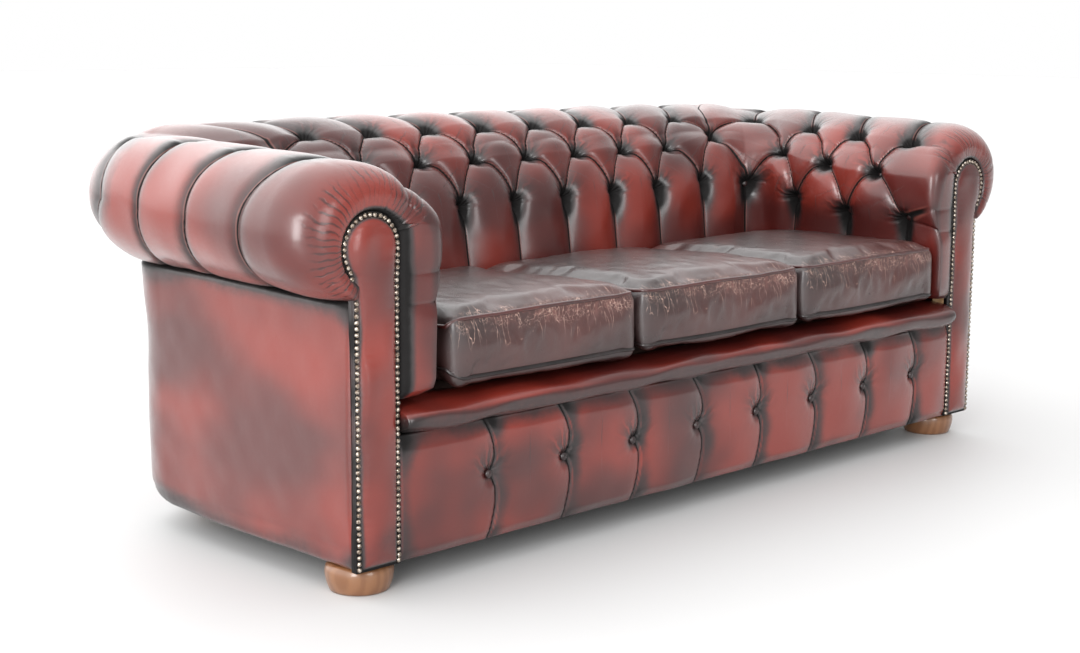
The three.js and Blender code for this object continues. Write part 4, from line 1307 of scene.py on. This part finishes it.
def cushion_frame(node):
    """Centre of a cushion and its tilted axes."""
    centre = Vector((low(node) + high(node)) / 2)
    return Matrix.Translation(centre) @ Matrix.Rotation(-CUSHION_SLOPE, 4, "X")


def crown(points):
    """A stuffed box: middle of each face out, corners thin, border drawn in a little between seams."""
    x, y, z = (points / (CUSHION_SIZE / 2)).T
    dome = (1 - np.clip(np.abs(x), 0, 1) ** 2.4) * (1 - np.clip(np.abs(y), 0, 1) ** 2.4)
    top = smooth(z, 0.2, 0.9)
    bottom = smooth(-z, 0.2, 0.9)
    corner = np.clip(np.abs(x), 0, 1) ** 8 * np.clip(np.abs(y), 0, 1) ** 8
    moved = points.copy()
    moved[:, 2] += 0.012 * dome * top - 0.002 * dome * bottom
    moved[:, 2] -= 0.010 * corner * z
    waist = 1 - z ** 2
    moved[:, 1] += 0.007 * np.sign(y) * waist * smooth(np.abs(y), 0.85, 1.0) * (1 - np.abs(x) ** 4)
    moved[:, 0] += 0.003 * np.sign(x) * waist * smooth(np.abs(x), 0.85, 1.0) * (1 - np.abs(y) ** 4)
    return moved


# %% Swell a cushion
SWELL_STEPS = 20
SWELL_CAP = 0.010


def even_mesh(piece):
    """Evenly spaced faces, which the simulation needs."""
    remesh = piece.modifiers.new("even", "REMESH")
    remesh.mode = "VOXEL"
    remesh.voxel_size = 0.0062
    apply_modifiers(piece)


def swell(piece, cap):
    """Swells a cushion by inner pressure; no point moves further than `cap`."""
    before = read_points(piece)
    cloth = piece.modifiers.new("swell", "CLOTH")
    cloth.settings.quality = 5
    cloth.settings.mass = 0.4
    cloth.settings.tension_stiffness = 25
    cloth.settings.compression_stiffness = 12
    cloth.settings.shear_stiffness = 8
    cloth.settings.bending_stiffness = 2.0
    cloth.settings.use_pressure = True
    cloth.settings.uniform_pressure_force = 4.0
    cloth.settings.effector_weights.gravity = 0.0
    cloth.collision_settings.use_self_collision = False
    for step in range(1, SWELL_STEPS + 1):
        SCENE.frame_set(step)
    apply_modifiers(piece)
    SCENE.frame_set(1)
    after = read_points(piece)
    move = after - before
    far = np.linalg.norm(move, axis=1, keepdims=True)
    after = before + move * np.minimum(1, cap / np.maximum(far, 1e-9))
    write_points(piece, after)


def apply_modifiers(piece):
    graph = bpy.context.evaluated_depsgraph_get()
    shaped = bpy.data.meshes.new_from_object(piece.evaluated_get(graph))
    old = piece.data
    piece.modifiers.clear()
    piece.data = shaped
    bpy.data.meshes.remove(old)


def read_points(piece):
    flat = np.empty(len(piece.data.vertices) * 3)
    piece.data.vertices.foreach_get("co", flat)
    return flat.reshape(-1, 3)


def write_points(piece, points):
    piece.data.vertices.foreach_set("co", np.asarray(points, dtype=float).ravel())
    piece.data.update()


# %% [markdown]
# ## Worn cushion leather
# The cushions have lost their red: sitting has rubbed them to a dark grey brown, cracked the finish
# along the front edge and left pale scratches. The cracks are thin lines of a warped cell pattern,
# kept where a mask says that the hide is worn.

# %% Crack group
crack_group, crack_in, crack_out = new_group(
    "cracks", [("Place", "NodeSocketVector", None), ("Scale", "NodeSocketFloat", 30.0),
               ("Width", "NodeSocketFloat", 0.03)], [("Mask", "NodeSocketFloat")])
wires = Wiring(crack_group)
warp = wires.node("ShaderNodeTexNoise")
wires.link(crack_in.outputs["Place"], warp.inputs["Vector"])
warp.inputs["Scale"].default_value = 26
warp.inputs["Detail"].default_value = 4
shift = wires.node("ShaderNodeVectorMath", operation="SCALE")
wires.link(warp.outputs["Color"], shift.inputs[0])
shift.inputs["Scale"].default_value = 0.035
moved = wires.node("ShaderNodeVectorMath", operation="ADD")
wires.link(crack_in.outputs["Place"], moved.inputs[0])
wires.link(shift.outputs["Vector"], moved.inputs[1])
cell = wires.node("ShaderNodeTexVoronoi", feature="DISTANCE_TO_EDGE")
wires.link(moved.outputs["Vector"], cell.inputs["Vector"])
wires.link(crack_in.outputs["Scale"], cell.inputs["Scale"])
line = wires.math("LESS_THAN", cell.outputs["Distance"], crack_in.outputs["Width"])
breaks = wires.ramp(wires.noise(crack_in.outputs["Place"], 42, 4, 0.7), 0.47, 0.55)
wires.link(wires.times(line, breaks), crack_out.inputs["Mask"])
print("group", crack_group.name)


# %% Worn leather material
def worn_leather(name):
    material, wires, shader, place = start_material(name)
    grain = wires.node("ShaderNodeGroup", node_tree=grain_group)
    wires.link(place, grain.inputs["Place"])
    cloud, fleck = grain.outputs["Cloud"], grain.outputs["Fleck"]
    base = wires.mix(wires.ramp(cloud, 0.35, 0.7), (0.022, 0.013, 0.013, 1), (0.070, 0.022, 0.019, 1))
    worn = wires.plus(wires.value("wear"), wires.times(cloud, 0.7))
    fine = wires.node("ShaderNodeGroup", node_tree=crack_group)
    wires.link(place, fine.inputs["Place"])
    fine.inputs["Scale"].default_value = 150
    fine.inputs["Width"].default_value = 0.030
    long = wires.node("ShaderNodeGroup", node_tree=crack_group)
    stretched = wires.node("ShaderNodeMapping")
    stretched.inputs["Scale"].default_value = (1.6, 0.35, 0.24)
    stretched.inputs["Rotation"].default_value = (0.0, 0.35, 0.2)
    wires.link(place, stretched.inputs["Vector"])
    wires.link(stretched.outputs["Vector"], long.inputs["Place"])
    long.inputs["Scale"].default_value = 40
    long.inputs["Width"].default_value = 0.010
    fine_on = wires.times(fine.outputs["Mask"], wires.ramp(worn, 0.95, 1.35))
    long_on = wires.times(long.outputs["Mask"], wires.ramp(worn, 0.55, 0.95))
    pale_patch = wires.times(wires.ramp(worn, 1.0, 1.6), wires.ramp(fleck, 0.45, 0.7))
    colour = wires.mix(wires.times(pale_patch, 0.55), base, (0.24, 0.10, 0.08, 1))
    colour = wires.mix(wires.times(long_on, 0.85), colour, (0.50, 0.32, 0.26, 1))
    colour = wires.mix(wires.times(fine_on, 0.80), colour, (0.50, 0.33, 0.27, 1))
    # Painted shade: the fold value darkens the bottom, back, sides and front corners to near black.
    colour = wires.mix(wires.ramp(wires.value("fold"), 0.2, 1.0), colour, (0.010, 0.006, 0.006, 1))
    wires.link(colour, shader.inputs["Base Color"])
    rough = wires.plus(wires.ramp(worn, 0.5, 1.6, 0.24, 0.46), wires.times(fleck, 0.10))
    wires.link(rough, shader.inputs["Roughness"])
    dents = wires.minus(grain.outputs["Height"], wires.times(long_on, 0.8))
    wires.bump(dents, 0.5, 0.0008, shader)
    shader.inputs["Coat Weight"].default_value = 0.55
    shader.inputs["Coat Roughness"].default_value = 0.24
    return material


CUSHION_LEATHER = worn_leather("worn_cushion_leather")


# %% Cushion wear
def cushion_values(points):
    """Wear, and painted shade on the bottom, back, sides and front corners, over a cushion, from its own
    centre.
    """
    x, y, z = (points / (CUSHION_SIZE / 2)).T
    front_edge = np.exp(-(((-1 - y) / 0.10) ** 2 + ((1.0 - z) / 0.75) ** 2))
    on_front = smooth(-y, 0.86, 0.98) * smooth(z, -0.6, 0.8)
    on_top = smooth(z, 0.7, 1.0) * (0.35 + 0.35 * waves(points[:, 0], points[:, 1] * 2.5, 71, 0.20))
    wear = 0.85 * front_edge + 0.5 * on_front + on_top * 0.6
    fold = 0.6 * smooth(-z, 0.6, 1.0) + 0.9 * smooth(y, 0.9, 1.0) + 0.9 * smooth(np.abs(x), 0.965, 1.0)
    fold += 0.5 * smooth(np.abs(x), 0.90, 0.99) * smooth(-y, 0.9, 1.0)
    return {"wear": np.clip(wear, 0, 1.6), "fold": np.clip(fold, 0, 1)}


# %% Cord in the cushion seams
def seam_loop(level):
    """Closed path near one seam of the box, as points and outward directions."""
    count = 260
    half = CUSHION_SIZE[:2] / 2
    corner = 0.030
    spots, aims = [], []
    for k in range(count):
        a = 2 * math.pi * k / count
        c, s = math.cos(a), math.sin(a)
        reach = 1 / max(abs(c), abs(s))
        p = np.array([c, s]) * reach
        inner = half - corner
        q = np.clip(p * half, -inner, inner)
        away = p * half - q
        size = np.linalg.norm(away)
        if size > corner:
            away *= corner / size
        spots.append([*(q + away), level * CUSHION_SIZE[2] / 2])
        flat_aim = away / max(np.linalg.norm(away), 1e-9)
        aims.append([*flat_aim, level])
    return np.array(spots), np.array(aims)


PIPING_R = 0.0038


def tube(path, radius, sides=8):
    """A closed ring-shaped tube along a closed path."""
    count = len(path)
    ahead_by = np.roll(path, -1, 0) - np.roll(path, 1, 0)
    ahead_by /= np.linalg.norm(ahead_by, axis=1, keepdims=True)
    side_by = np.cross(ahead_by, [0, 0, 1.0])
    side_by /= np.linalg.norm(side_by, axis=1, keepdims=True)
    up_by = np.cross(side_by, ahead_by)
    angle = np.linspace(0, 2 * math.pi, sides, endpoint=False)
    ring = side_by[:, None] * np.cos(angle)[None, :, None] + up_by[:, None] * np.sin(angle)[None, :, None]
    points = (path[:, None] + radius * ring).reshape(-1, 3)
    faces = []
    for i in range(count):
        j = (i + 1) % count
        for k in range(sides):
            m = (k + 1) % sides
            faces.append([i * sides + k, i * sides + m, j * sides + m, j * sides + k])
    return points, np.array(faces)


def piping(piece, level):
    """Tube points along one seam, laid on the cushion's surface."""
    corners = [list(face.vertices) for face in piece.data.polygons]
    tree = BVHTree.FromPolygons(read_points(piece).tolist(), corners)
    spots, aims = seam_loop(level)
    path = []
    for spot, aim in zip(spots, aims):
        direction = Vector(aim).normalized()
        start = Vector(spot) + direction * 0.06
        hit = tree.ray_cast(start, -direction)[0]
        path.append(np.array(hit if hit is not None else spot))
    path = np.array(path)
    for _ in range(2):
        path = 0.5 * path + 0.25 * (np.roll(path, 1, 0) + np.roll(path, -1, 0))
    return tube(path, PIPING_R)


# %% Build the cushions
FRONT_DROOP = 0.020
LEFT_SQUEEZE = 0.020
for k, place in enumerate(("left", "middle", "right")):
    node = "cushion_" + place
    points, faces = rounded_box(CUSHION_SIZE - [0.004, 0.006, 0.010], 0.016, (49, 47, 15))
    piece = make_mesh("cushion_cover_" + place, crown(points), faces)
    bpy.context.view_layer.objects.active = piece
    even_mesh(piece)
    swell(piece, SWELL_CAP)
    points = read_points(piece)
    sag = 0.0024 * waves(points[:, 0], points[:, 1], 80 + k, 0.30)
    sag += 0.0004 * waves(points[:, 0] * 1.4, points[:, 1] + points[:, 2] * 2, 90 + k, 0.05)
    edge_wave = 0.0030 * waves(points[:, 0], points[:, 1], 95 + k, 0.30)
    points[:, 2] += sag * smooth(points[:, 2], -0.02, 0.05) + edge_wave * smooth(points[:, 2], 0.02, -0.05)
    droop = smooth(points[:, 1], -0.175, -0.235) * smooth(points[:, 2], 0.03, -0.05)
    points[:, 2] -= FRONT_DROOP * droop
    if place == "left":
        squeezed = smooth(points[:, 0], -0.100, -0.242) * smooth(points[:, 1], 0.0, -0.235)
        points[:, 0] += LEFT_SQUEEZE * squeezed
    write_points(piece, points)
    smoothing = piece.modifiers.new("even_out", "SMOOTH")
    smoothing.iterations = 2
    smoothing.factor = 0.4
    apply_modifiers(piece)
    points = read_points(piece)
    for key, value in cushion_values(points).items():
        layer = piece.data.attributes.new(key, "FLOAT", "POINT")
        layer.data.foreach_set("value", value)
    piece.data.polygons.foreach_set("use_smooth", [True] * len(piece.data.polygons))
    cords = [piping(piece, level) for level in (1, -1)]
    cord_points = np.concatenate([cords[0][0], cords[1][0]])
    cord_faces = np.concatenate([cords[0][1], cords[1][1] + len(cords[0][0])])
    # The cords carry painted shade, the lower one darker.
    cord_piece = make_mesh("cushion_piping_" + place, cord_points, cord_faces,
                           {"fold": np.repeat([0.42, 0.80], [len(cords[0][0]), len(cords[1][0])])})
    piece.matrix_world = cushion_frame(node)
    cord_piece.matrix_world = cushion_frame(node)
    finish_piece(piece, CUSHION_LEATHER, [node])
    finish_piece(cord_piece, PLAIN_LEATHER)

# %% [markdown]
# ## Seat base and dust cover
# Under the cushions a platform of canvas lies over the springs, and black cloth closes the base from
# below. The canvas is hardly seen, but a gap between cushions shows it. The dust cover is one sheet,
# tacked to the rails and slack between them.

# %% Cloth material
def cloth_material(name, colour, dust):
    material, wires, shader, place = start_material(name)
    weave = []
    for axis in ("X", "Y"):
        band = wires.node("ShaderNodeTexWave", bands_direction=axis)
        wires.link(place, band.inputs["Vector"])
        band.inputs["Scale"].default_value = 260
        weave.append(band.outputs["Fac"])
    threads = wires.times(weave[0], weave[1])
    patch = wires.noise(place, 6, 4, 0.6)
    wires.link(wires.mix(wires.ramp(patch, 0.45, 0.75), colour, dust), shader.inputs["Base Color"])
    shader.inputs["Roughness"].default_value = 0.92
    wires.bump(threads, 0.4, 0.0004, shader)
    return material


BLACK_CLOTH = cloth_material("black_cloth", (0.012, 0.011, 0.011, 1), (0.07, 0.062, 0.055, 1))
CANVAS = cloth_material("seat_canvas", (0.045, 0.022, 0.016, 1), (0.10, 0.06, 0.045, 1))

# %% Platform
UNDER_CUSHIONS = 0.3195
p_low, p_high = low("seat_platform"), high("seat_platform")
x_grid = np.linspace(p_low[0], p_high[0], 120)
y_grid = np.linspace(p_low[1], p_high[1], 48)
X, Y = np.meshgrid(x_grid, y_grid, indexing="ij")
rim = np.minimum(np.minimum(X - p_low[0], p_high[0] - X), np.minimum(Y - p_low[1], p_high[1] - Y))
z = p_high[2] - 0.012 + 0.012 * smooth(rim, 0, 0.03) + 0.001 * waves(X, Y, 101, 0.3)
front = np.stack([X, Y, np.minimum(z, UNDER_CUSHIONS)], -1)
back = np.stack([X, Y, np.full(X.shape, p_low[2])], -1)
piece = closed_shell("seat_platform_canvas", front, back, {})
finish_piece(piece, CANVAS, ["seat_platform"])

# %% Dust cover
DUST_INSET = 0.022
runs = np.concatenate([np.linspace(0.008, 1, 40)[:-1], np.linspace(1, 2, 16)[:-1], np.linspace(2, 3, 30)])
edge_x, edge_y = plan_point(np.full(runs.shape, -DUST_INSET), runs)
edge_x = with_mirror(edge_x, -1)
edge_y = with_mirror(edge_y)
share = np.linspace(0, 1, 30)
rim_points = np.stack([edge_x, edge_y], -1)
spine = np.stack([edge_x * 0.7, np.full(edge_x.shape, float(edge_y.min()))], -1)
flat = rim_points[:, None] * (1 - share)[None, :, None] + spine[:, None] * share[None, :, None]
rim_far = np.minimum(np.minimum(BASE_HALF - np.abs(flat[..., 0]), REAR - flat[..., 1]),
                     flat[..., 1] - FRONT)
slack = 0.0045 * smooth(rim_far, 0.01, 0.25) + 0.0006 * waves(flat[..., 0], flat[..., 1], 111, 0.12)
z = BASE_BOTTOM + 0.0006 - slack
front = np.concatenate([flat, z[..., None]], -1)
back = front + np.array([0, 0, 0.0012])
piece = closed_shell("dust_cover_cloth", front, back, {})
merge_coincident(piece)
finish_piece(piece, BLACK_CLOTH, ["dust_cover"])

# %% [markdown]
# ## Wood and steel
# The turned feet are lacquered hardwood. The frame inside is plain sawn beech with steel springs and
# bolts. Rings of a wood trunk seen from the side make the grain: a wave pattern bent by noise.

# %% Wood group and materials
wood_group, wood_in, wood_out = new_group(
    "wood_grain", [("Place", "NodeSocketVector", None), ("Light", "NodeSocketColor", (0.6, 0.4, 0.2, 1)),
                   ("Dark", "NodeSocketColor", (0.3, 0.15, 0.07, 1))],
    [("Color", "NodeSocketColor"), ("Height", "NodeSocketFloat")])
wires = Wiring(wood_group)
stretch_place = wires.node("ShaderNodeMapping")
stretch_place.inputs["Scale"].default_value = (1.0, 1.0, 0.18)
stretch_place.inputs["Rotation"].default_value = (0.1, 1.35, 0.3)
wires.link(wood_in.outputs["Place"], stretch_place.inputs["Vector"])
rings = wires.node("ShaderNodeTexWave", wave_type="RINGS")
wires.link(stretch_place.outputs["Vector"], rings.inputs["Vector"])
rings.inputs["Scale"].default_value = 22
rings.inputs["Distortion"].default_value = 6
rings.inputs["Detail"].default_value = 3
fibre = wires.noise(stretch_place.outputs["Vector"], 320, 3, 0.6)
tone = wires.plus(wires.times(rings.outputs["Fac"], 0.6), wires.times(fibre, 0.4))
wires.link(wires.mix(wires.ramp(tone, 0.2, 0.85), wood_in.outputs["Light"], wood_in.outputs["Dark"]),
           wood_out.inputs["Color"])
wires.link(fibre, wood_out.inputs["Height"])


def wood_material(name, light, dark, rough, coat):
    material, wires, shader, place = start_material(name)
    wood = wires.node("ShaderNodeGroup", node_tree=wood_group)
    wires.link(place, wood.inputs["Place"])
    wood.inputs["Light"].default_value = light
    wood.inputs["Dark"].default_value = dark
    wires.link(wood.outputs["Color"], shader.inputs["Base Color"])
    scuff = wires.noise(place, 45, 4, 0.6)
    wires.link(wires.ramp(scuff, 0.3, 0.8, rough, rough + 0.2), shader.inputs["Roughness"])
    wires.bump(wood.outputs["Height"], 0.2, 0.0003, shader)
    shader.inputs["Coat Weight"].default_value = coat
    shader.inputs["Coat Roughness"].default_value = 0.12
    return material


FOOT_PROFILE = [(0.0470, 0.0), (0.0500, 0.0012), (0.0520, 0.0060), (0.0545, 0.0130), (0.0565, 0.0210),
                (0.0576, 0.0290), (0.0574, 0.0360), (0.0555, 0.0420), (0.0515, 0.0460), (0.0460, 0.0475)]
FOOT_WOOD = wood_material("lacquered_foot", (0.22, 0.096, 0.039, 1), (0.18, 0.073, 0.028, 1), 0.30, 0.6)
BEECH = wood_material("sawn_beech", (0.52, 0.34, 0.18, 1), (0.36, 0.21, 0.10, 1), 0.62, 0.0)
for spot in ("front_right", "front_left", "rear_right", "rear_left"):
    points, faces = turned(FOOT_PROFILE, 72)
    centre = (low("foot_" + spot) + high("foot_" + spot)) / 2
    piece = make_mesh("turned_foot_" + spot, points + [centre[0], centre[1], 0], faces)
    finish_piece(piece, FOOT_WOOD, ["foot_" + spot])
BY_SLOT = {"foot_": FOOT_WOOD, "foot_bolt": STEEL, "seat_spring": STEEL}
for name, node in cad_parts.items():
    choice = BEECH
    for start, material in BY_SLOT.items():
        if name.startswith(start):
            choice = material
    for material_slot in node.material_slots:
        material_slot.material = choice
print("frame nodes dressed", len(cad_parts))
